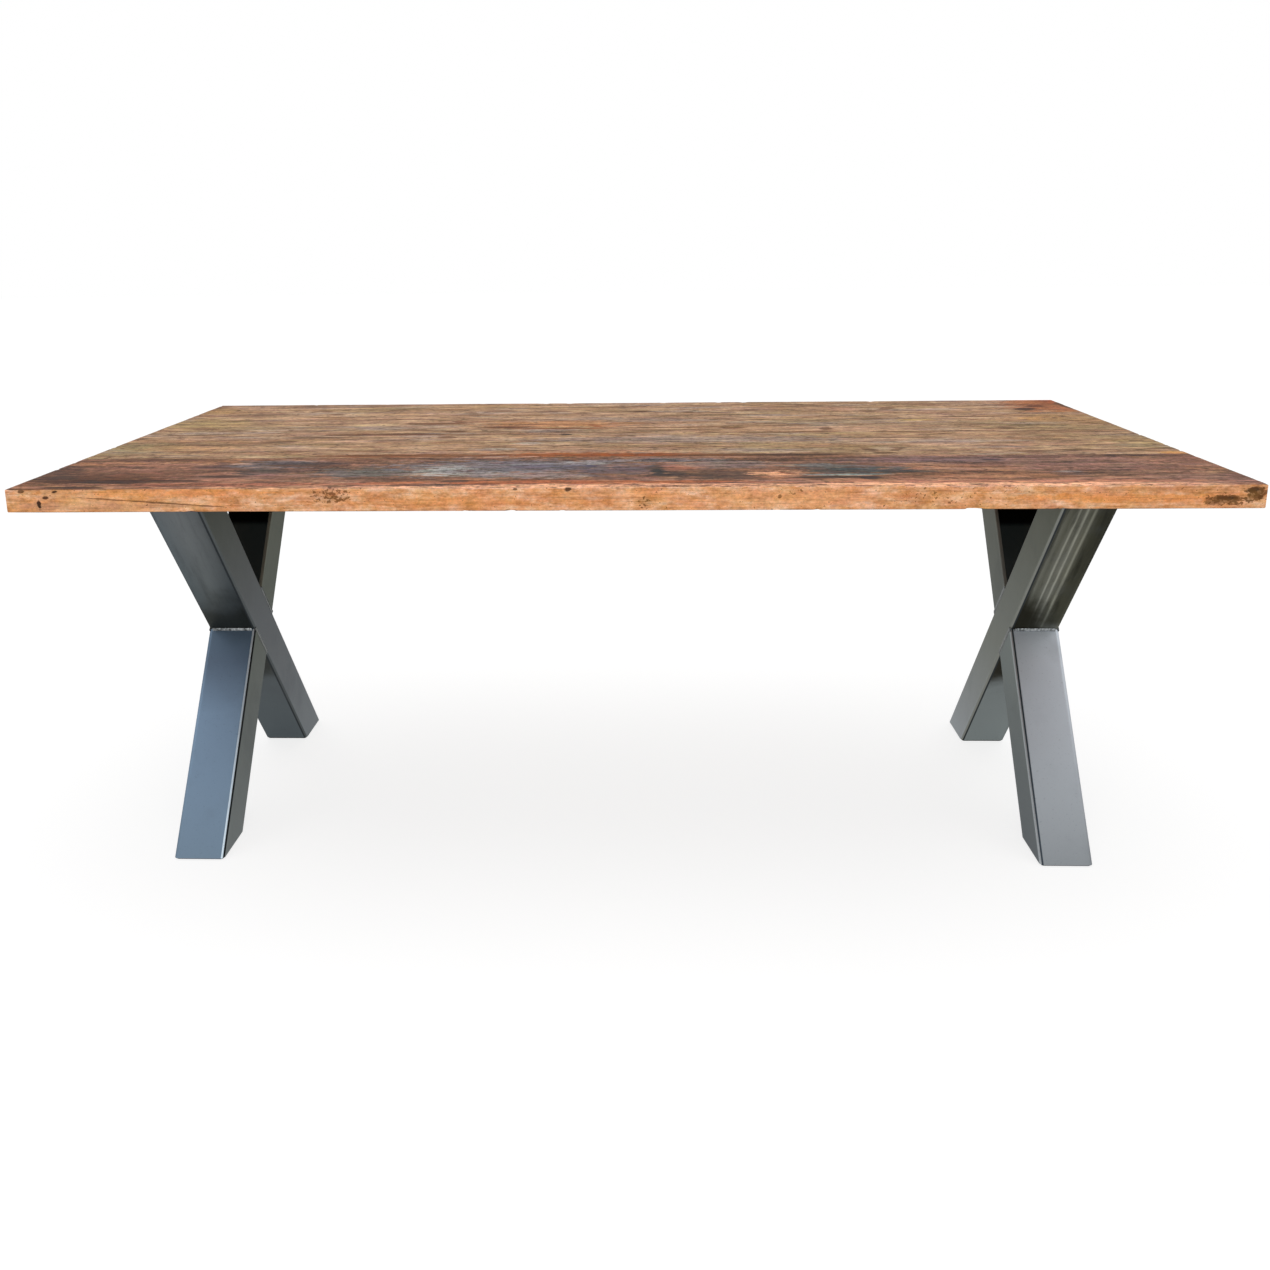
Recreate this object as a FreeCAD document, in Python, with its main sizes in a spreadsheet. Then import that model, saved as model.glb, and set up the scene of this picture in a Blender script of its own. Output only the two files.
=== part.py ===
import FreeCAD, Part
import math
import os

import Sketcher

# A sawbuck dining table: four glued planks on two X-shaped legs of square steel tube.
# Millimetres. The origin is on the floor, midway between the legs and between front and back.
# +X runs along the table, +Y to the back and +Z up. "left" is -X and "front" is -Y.

SIZES = {
    # the wooden top, laid from four planks, front to back
    "top_length": 2060,
    "front_board_width": 320,
    "middle_front_board_width": 310,
    "middle_back_board_width": 310,
    "back_board_width": 240,
    "top_thickness": 40,
    "outer_arris": 2.5,
    "seam_arris": 0.8,
    # the loose tongues that hold the planks level in the glued seams
    "tongue_thickness": 8,
    "tongue_width": 30,
    "tongue_end_cover": 90,
    "tongue_face_gap": 0.1,
    "tongue_edge_gap": 0.5,
    # the two legs of square hollow section, sawn level at the floor and under the strip
    "tube_size": 100,
    "tube_wall": 4,
    "tube_corner": 8,
    "frame_height": 719,
    "foot_spread": 795,
    "top_spread": 749,
    "end_overhang": 141,
    # the feet
    "glide_thickness": 3,
    "glide_inset": 4,
    "glide_corner": 5,
    "foot_plate_thickness": 4,
    "foot_plate_gap": 0.3,
    # the flat strip across the top of each leg, and its slots
    "plate_thickness": 8,
    "plate_width": 120,
    "plate_overhang": 60,
    "plate_corner": 10,
    "slot_clearance": 1,
    "slot_travel": 12,
    "slot_end_distance": 26,
    "slot_arm_distance": 70,
    # the beads of weld
    "weld_leg": 6,
    "weld_toe": 2.5,
    "weld_crown": 0.8,
    # the fasteners between strip and planks
    "bolt_diameter": 8,
    "bolt_length": 25,
    "bolt_head_width": 13,
    "bolt_head_height": 5.3,
    "bolt_head_chamfer": 0.8,
    "bolt_tip_room": 4,
    "washer_diameter": 24,
    "washer_thickness": 2,
    "washer_gap": 0.4,
    "insert_diameter": 12,
    "insert_length": 15,
    "insert_gap": 0.1,
    "thread_gap": 0.1,
}

BOARDS = ["front", "middle_front", "middle_back", "back"]
TONGUES = ["front", "middle", "back"]
SIDES = {"left": -1, "right": 1}

doc = FreeCAD.newDocument("sawbuck_table")
sizes = doc.addObject("Spreadsheet::Sheet", "Sizes")
for row, (alias, number) in enumerate(SIZES.items(), 1):
    sizes.set(f"A{row}", alias)
    sizes.set(f"B{row}", str(number))
    sizes.setAlias(f"B{row}", alias)
doc.recompute()


# ---- expressions that several pieces share ----

# A bar's lean against the floor follows from its height, its spread and its own width.
RUN = "((Sizes.foot_spread + Sizes.top_spread) / 2)"
DIAGONAL = f"hypot(Sizes.frame_height; {RUN})"
LEAN = f"(atan2(Sizes.frame_height; {RUN}) + asin(Sizes.tube_size / {DIAGONAL}))"
RISE = f"tan({LEAN})"

# How long a level saw cut through a bar is along Y, and how much of it one wall takes.
CUT = f"(Sizes.tube_size / sin({LEAN}))"
WALL_CUT = f"(Sizes.tube_wall / sin({LEAN}))"

HALF_FOOT = "(Sizes.foot_spread / 2)"
HALF_TOP = "(Sizes.top_spread / 2)"
HALF_TUBE = "(Sizes.tube_size / 2)"
BORE = "(Sizes.tube_size - 2 * Sizes.tube_wall)"
BORE_CORNER = "(Sizes.tube_corner - Sizes.tube_wall)"

LEG_PLACE = f"(Sizes.top_length / 2 - Sizes.end_overhang - {HALF_TUBE})"
FRAME_TOP = "(Sizes.glide_thickness + Sizes.frame_height)"
TOP_UNDERSIDE = f"({FRAME_TOP} + Sizes.plate_thickness)"
TOP_WIDTH = "(" + " + ".join(f"Sizes.{board}_board_width" for board in BOARDS) + ")"

# The slots lie along the middle of the strip: at each end one beyond the bar and one inside it.
PLATE_HALF_LENGTH = f"({HALF_TOP} + Sizes.plate_overhang)"
SLOT_PLACES = [
    f"({PLATE_HALF_LENGTH} - Sizes.slot_end_distance)",
    f"({HALF_TOP} - {CUT} - Sizes.slot_arm_distance)",
]
BOLT_HOLE = "(Sizes.bolt_diameter / 2 + Sizes.thread_gap)"


def value(expression):
    """The present number behind an expression."""
    found = sizes.evalExpression(expression)
    return float(getattr(found, "Value", found))


def seam(count):
    """Where the face behind the first `count` planks lies along Y."""
    widths = "".join(f" + Sizes.{board}_board_width" for board in BOARDS[:count])
    return f"(-{TOP_WIDTH} / 2{widths})"


# ---- sketching ----

def new_body(name, across="0", up="0", tilt=None):
    """An empty body for one piece, moved along X and Z and tilted about X."""
    body = doc.addObject("PartDesign::Body", name)
    body.Label = name
    if tilt:
        body.Placement.Rotation = FreeCAD.Rotation(FreeCAD.Vector(1, 0, 0), value(tilt))
        body.setExpression("Placement.Rotation.Angle", tilt)
    body.setExpression("Placement.Base.x", across)
    body.setExpression("Placement.Base.z", up)
    return body


def plane(body, role):
    """One of the body's own origin planes."""
    return next(feature for feature in body.Origin.OriginFeatures if feature.Role == role)


def new_sketch(body, role, name):
    """An empty sketch on one of the body's origin planes."""
    sketch = body.newObject("Sketcher::SketchObject", name)
    sketch.AttachmentSupport = [(plane(body, role), "")]
    sketch.MapMode = "FlatFace"
    return sketch


def drive(sketch, constraint, expression):
    """Add a constraint whose number follows an expression."""
    index = sketch.addConstraint(constraint)
    sketch.setExpression(f"Constraints[{index}]", expression)


def pin(sketch, edge, point, across, up):
    """Hold one point of an edge at (across, up) from the sketch's origin."""
    for kind, place in (("DistanceX", across), ("DistanceY", up)):
        drive(sketch, Sketcher.Constraint(kind, -1, 1, edge, point, value(place)), place)


def arc_between(start, end, radius, side):
    """The short arc between two points that bulges to the chord's right (1) or left (-1)."""
    chord = end - start
    right = FreeCAD.Vector(chord.y, -chord.x, 0).normalize() * side
    depth = math.sqrt(radius * radius - chord.Length ** 2 / 4)
    centre = (start + end) / 2 - right * depth
    first, last = (start, end) if side > 0 else (end, start)
    angles = [math.atan2(point.y - centre.y, point.x - centre.x) for point in (first, last)]
    circle = Part.Circle(centre, FreeCAD.Vector(0, 0, 1), radius)
    return Part.ArcOfCircle(circle, *angles)


def add_outline(sketch, corners, arcs=None):
    """A closed outline of lines whose corners are pinned (across, up) expressions.

    arcs turns the edge after a numbered corner into an arc: {number: (radius, side)}.
    """
    arcs = arcs or {}
    points = [FreeCAD.Vector(value(across), value(up), 0) for across, up in corners]
    edges = []
    for number, start in enumerate(points):
        end = points[(number + 1) % len(points)]
        if number in arcs:
            radius, side = arcs[number]
            edge = sketch.addGeometry(arc_between(start, end, value(radius), side))
            drive(sketch, Sketcher.Constraint("Radius", edge, value(radius)), radius)
            edges.append((edge, 1, 2) if side > 0 else (edge, 2, 1))
        else:
            edges.append((sketch.addGeometry(Part.LineSegment(start, end)), 1, 2))
    for number, (edge, start, end) in enumerate(edges):
        following = edges[(number + 1) % len(edges)]
        sketch.addConstraint(Sketcher.Constraint("Coincident", edge, end, following[0], following[1]))
        pin(sketch, edge, start, *corners[number])


def add_rectangle(sketch, left, right, low, high):
    """A rectangle between four expressions."""
    add_outline(sketch, [(left, low), (right, low), (right, high), (left, high)])


def add_circle(sketch, across, up, radius):
    """A circle about a pinned centre."""
    centre = FreeCAD.Vector(value(across), value(up), 0)
    edge = sketch.addGeometry(Part.Circle(centre, FreeCAD.Vector(0, 0, 1), value(radius)))
    pin(sketch, edge, 3, across, up)
    drive(sketch, Sketcher.Constraint("Radius", edge, value(radius)), radius)


def add_slot(sketch, across, up, radius, travel):
    """A round-ended slot along the sketch's second axis, about a pinned middle."""
    far, near = f"({up} + {travel} / 2)", f"({up} - {travel} / 2)"
    centres = [FreeCAD.Vector(value(across), value(place), 0) for place in (far, near)]
    side = FreeCAD.Vector(value(radius), 0, 0)
    normal = FreeCAD.Vector(0, 0, 1)
    caps = [
        sketch.addGeometry(Part.ArcOfCircle(Part.Circle(centre, normal, side.x), turn, turn + math.pi))
        for centre, turn in zip(centres, (0, math.pi))
    ]
    left = sketch.addGeometry(Part.LineSegment(centres[0] - side, centres[1] - side))
    right = sketch.addGeometry(Part.LineSegment(centres[1] + side, centres[0] + side))
    for first, second in ((caps[0], left), (left, caps[1]), (caps[1], right), (right, caps[0])):
        sketch.addConstraint(Sketcher.Constraint("Tangent", first, 2, second, 1))
    sketch.addConstraint(Sketcher.Constraint("Equal", *caps))
    pin(sketch, caps[0], 3, across, far)
    pin(sketch, caps[1], 3, across, near)
    drive(sketch, Sketcher.Constraint("Radius", caps[0], side.x), radius)


# ---- features ----

def extrude(body, kind, sketch, name, length, **settings):
    """Pad or pocket a sketch by an expression."""
    feature = body.newObject(f"PartDesign::{kind}", name)
    feature.Profile = sketch
    feature.setExpression("Length", length)
    for setting, choice in settings.items():
        setattr(feature, setting, choice)
    doc.recompute()
    return feature


def dress(body, kind, base, name, amount, wanted):
    """Fillet or chamfer those edges of a feature for which wanted(edge) holds."""
    edges = [f"Edge{number}" for number, edge in enumerate(base.Shape.Edges, 1) if wanted(edge)]
    feature = body.newObject(f"PartDesign::{kind}", name)
    feature.Base = (base, edges)
    feature.setExpression("Radius" if kind == "Fillet" else "Size", amount)
    doc.recompute()
    return feature


def mirror(body, originals, name):
    """Repeat features of the back half in the front half."""
    pattern = body.newObject("PartDesign::Mirrored", name)
    pattern.Originals = originals
    pattern.MirrorPlane = (plane(body, "XZ_Plane"), [""])
    body.Tip = pattern
    doc.recompute()
    return pattern


def direction(edge):
    """The unit direction of an edge's chord in its body's own axes."""
    start, end = edge.firstVertex().Point, edge.lastVertex().Point
    return (end - start).normalize() if start != end else FreeCAD.Vector()


def is_rising(edge):
    """True for edges that climb, such as the long edges of a leaning bar or a plate's corners."""
    return abs(direction(edge).z) > 0.1


# ---- the wooden top ----

def make_board(number, board):
    """One plank with eased edges, grooved for its tongues and drilled from below for the inserts."""
    front, back = seam(number), seam(number + 1)
    body = new_body(f"top_board_{board}", up=TOP_UNDERSIDE)
    section = new_sketch(body, "YZ_Plane", f"{board}_section")
    add_rectangle(section, front, back, "0", "Sizes.top_thickness")
    plank = extrude(body, "Pad", section, f"{board}_plank", "Sizes.top_length", SideType="Symmetric")

    seams = [count for count in (number, number + 1) if 0 < count < len(BOARDS)]
    glued_faces = [value(seam(count)) for count in seams]
    half_thickness = value("Sizes.top_thickness / 2")

    def is_glued(edge):
        return any(abs(edge.CenterOfMass.y - face) < 0.01 for face in glued_faces)

    def is_seam_top(edge):
        middle = edge.CenterOfMass
        return is_glued(edge) and abs(middle.x) < 0.01 and middle.z > half_thickness

    eased = dress(body, "Chamfer", plank, f"{board}_arris", "Sizes.outer_arris",
                  lambda edge: not is_glued(edge))
    dress(body, "Chamfer", eased, f"{board}_seam_arris", "Sizes.seam_arris", is_seam_top)
    for count in seams:
        cut_groove(body, board, count)
    drill_for_inserts(body, board)


def cut_groove(body, board, count):
    """A groove on both sides of a seam, of which this board takes its half, stopped short of the ends."""
    half_width = "(Sizes.tongue_width / 2 + Sizes.tongue_edge_gap)"
    half_height = "(Sizes.tongue_thickness / 2 + Sizes.tongue_face_gap)"
    middle = "Sizes.top_thickness / 2"
    section = new_sketch(body, "YZ_Plane", f"{board}_groove_section_{count}")
    add_rectangle(section, f"{seam(count)} - {half_width}", f"{seam(count)} + {half_width}",
                  f"{middle} - {half_height}", f"{middle} + {half_height}")
    extrude(body, "Pocket", section, f"{board}_groove_{count}",
            "Sizes.top_length - 2 * Sizes.tongue_end_cover", SideType="Symmetric")


def drill_for_inserts(body, board):
    """Blind holes over every slot of both legs, of which this board takes those under it."""
    holes = new_sketch(body, "XY_Plane", f"{board}_hole_plan")
    for leg in ("-", ""):
        for end in ("-", ""):
            for slot_place in SLOT_PLACES:
                add_circle(holes, f"{leg}{LEG_PLACE}", f"{end}{slot_place}",
                           "(Sizes.insert_diameter / 2 + Sizes.insert_gap)")
    extrude(body, "Pocket", holes, f"{board}_holes", "Sizes.insert_length + Sizes.bolt_tip_room",
            Reversed=True)


def make_tongue(number, tongue):
    """A loose tongue glued into the grooves of one seam."""
    body = new_body(f"top_tongue_{tongue}", up=TOP_UNDERSIDE)
    middle, place = "Sizes.top_thickness / 2", seam(number + 1)
    section = new_sketch(body, "YZ_Plane", f"{tongue}_tongue_section")
    add_rectangle(section, f"{place} - Sizes.tongue_width / 2", f"{place} + Sizes.tongue_width / 2",
                  f"{middle} - Sizes.tongue_thickness / 2", f"{middle} + Sizes.tongue_thickness / 2")
    extrude(body, "Pad", section, f"{tongue}_tongue_strip",
            "Sizes.top_length - 2 * (Sizes.tongue_end_cover + Sizes.tongue_edge_gap)", SideType="Symmetric")


# ---- the bars of a leg ----
# Their bodies stand on the level saw cut at the foot. A bar with lean 1 rises to the back,
# and one with lean -1 to the front. Both start at the tip of their foot.

NOTCH_HEIGHT = f"({RISE} * (Sizes.foot_spread - {CUT}) / 2)"
UPPER_V_HEIGHT = f"({RISE} * {HALF_FOOT})"
LOWER_V_HEIGHT = f"({RISE} * ({HALF_FOOT} - {CUT}))"


def leaning(lean, inward, height):
    """A point at a height on the line that starts `inward` from the tip of a leaning bar's foot."""
    return f"{lean} * (-{HALF_FOOT} + {inward} + ({height}) / {RISE})", height


def bar_strip(lean, margin, low, high):
    """The outline of a leaning bar between two heights, narrowed by a margin on both faces."""
    near, far = f"({margin})", f"({CUT} - ({margin}))"
    return [leaning(lean, near, low), leaning(lean, far, low),
            leaning(lean, far, high), leaning(lean, near, high)]


def bar_run(lean):
    """The unit direction in which a bar rises."""
    angle = math.radians(value(LEAN))
    return FreeCAD.Vector(0, lean * math.cos(angle), math.sin(angle))


def from_bar_middle(lean, point):
    """How far a point lies from the middle of a bar, square to its leaning faces."""
    start = FreeCAD.Vector(0, value(leaning(lean, f"{CUT} / 2", "0")[0]), 0)
    return abs((point - start).cross(bar_run(lean)).x)


def make_bar(name, place, lean, corners):
    """A length of square tube between saw cuts, rounded outside and in."""
    body = new_body(name, across=place, up="Sizes.glide_thickness")
    profile = new_sketch(body, "YZ_Plane", f"{name}_profile")
    add_outline(profile, corners)
    stock = extrude(body, "Pad", profile, f"{name}_stock", "Sizes.tube_size", SideType="Symmetric")

    def is_long(edge):
        return abs(direction(edge).dot(bar_run(lean))) > 0.999

    dress(body, "Fillet", stock, f"{name}_corners", "Sizes.tube_corner", is_long)

    # the bore runs on past both saw cuts
    bore = new_sketch(body, "YZ_Plane", f"{name}_bore_profile")
    add_outline(bore, bar_strip(lean, WALL_CUT, "-Sizes.tube_size", "Sizes.frame_height + Sizes.tube_size"))
    hollow = extrude(body, "Pocket", bore, f"{name}_bore", BORE, SideType="Symmetric")
    inside = value(f"{HALF_TUBE} - Sizes.tube_wall / 2")

    def is_bore_corner(edge):
        middle = edge.CenterOfMass
        return is_long(edge) and max(abs(middle.x), from_bar_middle(lean, middle)) < inside

    dress(body, "Fillet", hollow, f"{name}_bore_corners", BORE_CORNER, is_bore_corner)


def make_foot_plate(name, place, lean):
    """A plate let into the sawn end of a bar, flush with the cut and bevelled to the bar's lean."""
    body = new_body(name, across=place, up="Sizes.glide_thickness")
    profile = new_sketch(body, "YZ_Plane", f"{name}_profile")
    margin = f"(Sizes.tube_wall + Sizes.foot_plate_gap) / sin({LEAN})"
    add_outline(profile, bar_strip(lean, margin, "0", "Sizes.foot_plate_thickness"))
    blank = extrude(body, "Pad", profile, f"{name}_blank", f"{BORE} - 2 * Sizes.foot_plate_gap",
                    SideType="Symmetric")
    dress(body, "Chamfer", blank, f"{name}_corners", f"{BORE_CORNER} - Sizes.foot_plate_gap", is_rising)


def make_floor_glide(name, place, lean):
    """A thin pad between the foot and the floor, a little smaller than the sawn end."""
    body = new_body(name, across=place)
    plan = new_sketch(body, "XY_Plane", f"{name}_plan")
    half_width = f"({HALF_TUBE} - Sizes.glide_inset)"
    ends = [leaning(lean, inward, "0")[0] for inward in ("Sizes.glide_inset", f"{CUT} - Sizes.glide_inset")]
    add_rectangle(plan, f"-{half_width}", half_width, *ends)
    pad = extrude(body, "Pad", plan, f"{name}_pad", "Sizes.glide_thickness")
    dress(body, "Fillet", pad, f"{name}_corners", "Sizes.glide_corner", is_rising)


# ---- the welded crossing ----
# Its body sits in the middle of the crossing, with Z up along the through bar and Y square to
# it, towards the upper half bar. The two half bars butt against the through bar's Y faces.

def make_crossing_welds(name, place):
    """Beads in the four notches of the crossing, and in the four grooves beside its butt joints."""
    body = new_body(name, across=place, up=f"Sizes.glide_thickness + {NOTCH_HEIGHT}",
                    tilt=f"90 deg - {LEAN}")
    notches = new_sketch(body, "YZ_Plane", f"{name}_notch_profile")
    for way in (1, -1):
        for climb, turn in ((f"{HALF_TUBE} * {RISE}", 1), (f"{HALF_TUBE} / {RISE}", -1)):
            corner = (f"{way} * {HALF_TUBE}", f"{way * turn} * {climb}")
            on_through_bar = (corner[0], f"{corner[1]} + {way * turn} * Sizes.weld_leg")
            on_half_bar = (f"{corner[0]} + {way} * Sizes.weld_leg * sin(2 * {LEAN})",
                           f"{corner[1]} - {way} * Sizes.weld_leg * cos(2 * {LEAN})")
            add_outline(notches, [corner, on_through_bar, on_half_bar])
    extrude(body, "Pad", notches, f"{name}_notch_beads", "Sizes.tube_size - 2 * Sizes.tube_corner",
            SideType="Symmetric")

    for way, end in ((1, "upper"), (-1, "lower")):
        grooves = new_sketch(body, "XY_Plane", f"{name}_{end}_groove_profile")
        for side in (1, -1):
            add_groove_bead(grooves, side, way)
        up, down = (RISE, f"1 / {RISE}") if way > 0 else (f"1 / {RISE}", RISE)
        beads = extrude(body, "Pad", grooves, f"{name}_{end}_groove_beads", f"{HALF_TUBE} * {up}",
                        SideType="Two sides")
        beads.setExpression("Length2", f"{HALF_TUBE} * {down}")
    doc.recompute()


def add_groove_bead(sketch, side, way):
    """The bead that fills the hollow between the tube's round corner and the butted bar's end.

    It is slightly crowned and its toe reaches onto the butted bar.
    """
    face, joint = f"{side} * {HALF_TUBE}", f"{way} * {HALF_TUBE}"
    chord = "(Sizes.tube_corner + Sizes.weld_toe)"
    crown_radius = f"(({chord} / 2)^2 + Sizes.weld_crown^2) / (2 * Sizes.weld_crown)"
    corners = [
        (face, f"{joint} - {way} * Sizes.tube_corner"),
        (face, f"{joint} + {way} * Sizes.weld_toe"),
        (face, joint),
        (f"{face} - {side} * Sizes.tube_corner", joint),
    ]
    add_outline(sketch, corners, {0: (crown_radius, side * way), 3: ("Sizes.tube_corner", -side * way)})


# ---- the strip across the top of a leg ----
# Its bodies have their origin in the middle of the strip's underside.

def make_mounting_plate(name, place):
    """A flat strip with round corners and four slots that let the wood move across its grain."""
    body = new_body(name, across=place, up=FRAME_TOP)
    plan = new_sketch(body, "XY_Plane", f"{name}_plan")
    half_width = "Sizes.plate_width / 2"
    add_rectangle(plan, f"-{half_width}", half_width, f"-{PLATE_HALF_LENGTH}", PLATE_HALF_LENGTH)
    blank = extrude(body, "Pad", plan, f"{name}_blank", "Sizes.plate_thickness")
    dress(body, "Fillet", blank, f"{name}_corners", "Sizes.plate_corner", is_rising)
    slots = new_sketch(body, "XY_Plane", f"{name}_slot_plan")
    for slot_place in SLOT_PLACES:
        add_slot(slots, "0", slot_place, "(Sizes.bolt_diameter + Sizes.slot_clearance) / 2",
                 "Sizes.slot_travel")
    pocket = extrude(body, "Pocket", slots, f"{name}_slots", "Sizes.plate_thickness", Reversed=True)
    mirror(body, [pocket], f"{name}_all_slots")


def make_plate_welds(name, place):
    """Beads round the upper ends of both bars, in the corner under the strip."""
    body = new_body(name, across=place, up=FRAME_TOP)
    ends = new_sketch(body, "YZ_Plane", f"{name}_end_profile")
    for arm in (1, -1):
        for root, away in ((HALF_TOP, "+"), (f"({HALF_TOP} - {CUT})", "-")):
            corner = (f"{arm} * {root}", "0")
            under_strip = (f"{arm} * ({root} {away} Sizes.weld_leg)", "0")
            down_bar = (f"{arm} * ({root} - Sizes.weld_leg * cos({LEAN}))",
                        f"-Sizes.weld_leg * sin({LEAN})")
            add_outline(ends, [corner, under_strip, down_bar])
    extrude(body, "Pad", ends, f"{name}_end_beads", "Sizes.tube_size - 2 * Sizes.tube_corner",
            SideType="Symmetric")

    flanks = new_sketch(body, "XZ_Plane", f"{name}_flank_profile")
    # this plane faces the front, so a negative offset lies towards the back
    flanks.setExpression("AttachmentOffset.Base.z", f"-({HALF_TOP} - {CUT} / 2)")
    for side in (1, -1):
        root = f"{side} * {HALF_TUBE}"
        add_outline(flanks, [(root, "0"), (f"{root} + {side} * Sizes.weld_leg", "0"),
                             (root, "-Sizes.weld_leg")])
    beads = extrude(body, "Pad", flanks, f"{name}_flank_beads", f"{CUT} - 2 * Sizes.tube_corner",
                    SideType="Symmetric")
    mirror(body, [beads], f"{name}_all_flank_beads")


# ---- the fasteners of a leg ----
# One of each stands in every slot. The two at the back are drawn, and mirrored to the front.

def make_bolts(name, place):
    """Hexagon bolts that go up through washer and strip into the inserts."""
    body = new_body(name, across=place, up=f"{FRAME_TOP} - Sizes.washer_thickness")
    heads = new_sketch(body, "XY_Plane", f"{name}_head_plan")
    shanks = new_sketch(body, "XY_Plane", f"{name}_shank_plan")
    corner_radius = "Sizes.bolt_head_width / sqrt(3)"
    for slot_place in SLOT_PLACES:
        add_outline(heads, [
            (f"{corner_radius} * cos({turn} deg)", f"{slot_place} + {corner_radius} * sin({turn} deg)")
            for turn in range(0, 360, 60)
        ])
        add_circle(shanks, "0", slot_place, "Sizes.bolt_diameter / 2")
    head = extrude(body, "Pad", heads, f"{name}_heads", "Sizes.bolt_head_height", Reversed=True)
    shank = extrude(body, "Pad", shanks, f"{name}_shanks", "Sizes.bolt_length")
    bolts = mirror(body, [head, shank], f"{name}_all")
    lowest = bolts.Shape.BoundBox.ZMin

    def is_head_rim(edge):
        return abs(edge.CenterOfMass.z - lowest) < 0.01

    dress(body, "Chamfer", bolts, f"{name}_rims", "Sizes.bolt_head_chamfer", is_head_rim)


def make_rings(name, place, up, outer, inner, length):
    """Washers or threaded inserts: a ring about every bolt."""
    body = new_body(name, across=place, up=up)
    plan = new_sketch(body, "XY_Plane", f"{name}_plan")
    for slot_place in SLOT_PLACES:
        for radius in (outer, inner):
            add_circle(plan, "0", slot_place, radius)
    ring = extrude(body, "Pad", plan, f"{name}_rings", length)
    mirror(body, [ring], f"{name}_all")


# ---- assembly ----

def make_leg(side, sign):
    """One X-shaped leg with its feet, strip and fasteners."""
    place = f"{sign} * {LEG_PLACE}"
    top = "Sizes.frame_height"
    make_bar(f"{side}_through_bar", place, -1, bar_strip(-1, "0", "0", top))
    make_bar(f"{side}_lower_half_bar", place, 1, [
        leaning(1, "0", "0"), leaning(1, CUT, "0"),
        leaning(1, CUT, LOWER_V_HEIGHT), leaning(1, "0", NOTCH_HEIGHT),
    ])
    make_bar(f"{side}_upper_half_bar", place, 1, [
        leaning(1, "0", UPPER_V_HEIGHT), leaning(1, CUT, NOTCH_HEIGHT),
        leaning(1, CUT, top), leaning(1, "0", top),
    ])
    make_crossing_welds(f"{side}_crossing_welds", place)
    for foot, lean in (("front", 1), ("back", -1)):
        make_foot_plate(f"{side}_{foot}_foot_plate", place, lean)
        make_floor_glide(f"{side}_{foot}_floor_glide", place, lean)
    make_mounting_plate(f"{side}_mounting_plate", place)
    make_plate_welds(f"{side}_plate_welds", place)
    make_bolts(f"{side}_mounting_bolts", place)
    make_rings(f"{side}_mounting_washers", place, f"{FRAME_TOP} - Sizes.washer_thickness",
               "Sizes.washer_diameter / 2", "(Sizes.bolt_diameter + Sizes.washer_gap) / 2",
               "Sizes.washer_thickness")
    make_rings(f"{side}_threaded_inserts", place, TOP_UNDERSIDE,
               "Sizes.insert_diameter / 2", BOLT_HOLE, "Sizes.insert_length")


for board_number, board_name in enumerate(BOARDS):
    make_board(board_number, board_name)
for tongue_number, tongue_name in enumerate(TONGUES):
    make_tongue(tongue_number, tongue_name)
for side_name, side_sign in SIDES.items():
    make_leg(side_name, side_sign)
doc.recompute()

for feature in doc.Objects:
    if {"Invalid", "Error"} & set(feature.State):
        raise RuntimeError(f"{feature.Label} failed: {feature.State}")
bodies = [feature for feature in doc.Objects if feature.isDerivedFrom("PartDesign::Body")]
for body in bodies:
    if body.Shape.isNull() or not body.Shape.isValid():
        raise RuntimeError(f"{body.Label} has no valid shape")

os.makedirs("parts", exist_ok=True)
for body in bodies:
    body.Shape.exportStep(f"parts/{body.Label}.step")
    box = body.Shape.BoundBox
    print(f"{body.Label}: {len(body.Shape.Solids)} solid(s), {body.Shape.Volume / 1000:.1f} cm3, "
          f"z {box.ZMin:.1f} to {box.ZMax:.1f}")
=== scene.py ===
# %% [markdown]
# # A sawbuck table of old planks on welded steel legs
# The table is four reclaimed planks glued edge to edge, on two X-shaped legs of square steel tube.
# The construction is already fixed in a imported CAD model, so this lesson only dresses it: it keeps the steel
# solids and gives them finishes, and it models the worn planks and the rippled weld beads anew, in place.

# %% Load the frame
import math

import bmesh
import bpy
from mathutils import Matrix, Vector


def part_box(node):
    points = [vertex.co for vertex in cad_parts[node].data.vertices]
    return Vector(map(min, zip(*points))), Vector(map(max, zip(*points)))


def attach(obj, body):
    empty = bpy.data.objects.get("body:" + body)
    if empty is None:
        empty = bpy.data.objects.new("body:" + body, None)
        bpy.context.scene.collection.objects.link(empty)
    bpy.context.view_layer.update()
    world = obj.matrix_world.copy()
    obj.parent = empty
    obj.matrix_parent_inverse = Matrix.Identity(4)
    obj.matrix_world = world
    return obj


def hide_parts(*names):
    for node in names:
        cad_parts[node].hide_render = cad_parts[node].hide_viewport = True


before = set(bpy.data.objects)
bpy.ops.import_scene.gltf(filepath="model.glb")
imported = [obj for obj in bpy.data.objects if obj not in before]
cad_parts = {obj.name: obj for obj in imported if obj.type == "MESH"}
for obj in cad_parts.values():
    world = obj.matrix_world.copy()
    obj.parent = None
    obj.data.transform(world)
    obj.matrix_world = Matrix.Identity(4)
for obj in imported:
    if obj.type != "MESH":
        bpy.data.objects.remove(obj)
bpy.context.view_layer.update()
MM = 0.001
SIDES = ("left", "right")

# %% [markdown]
# ## The camera
# The viewer stands in front of the table, a little right of its middle, and looks slightly down. The lens is
# a mild wide angle. Blender's camera looks along its own -Z, so a turn of 90 degrees about X makes it look
# ahead, and a smaller one makes it look down. The frame is cropped a little off the lens's axis, which the
# camera has as a small shift.

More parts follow.
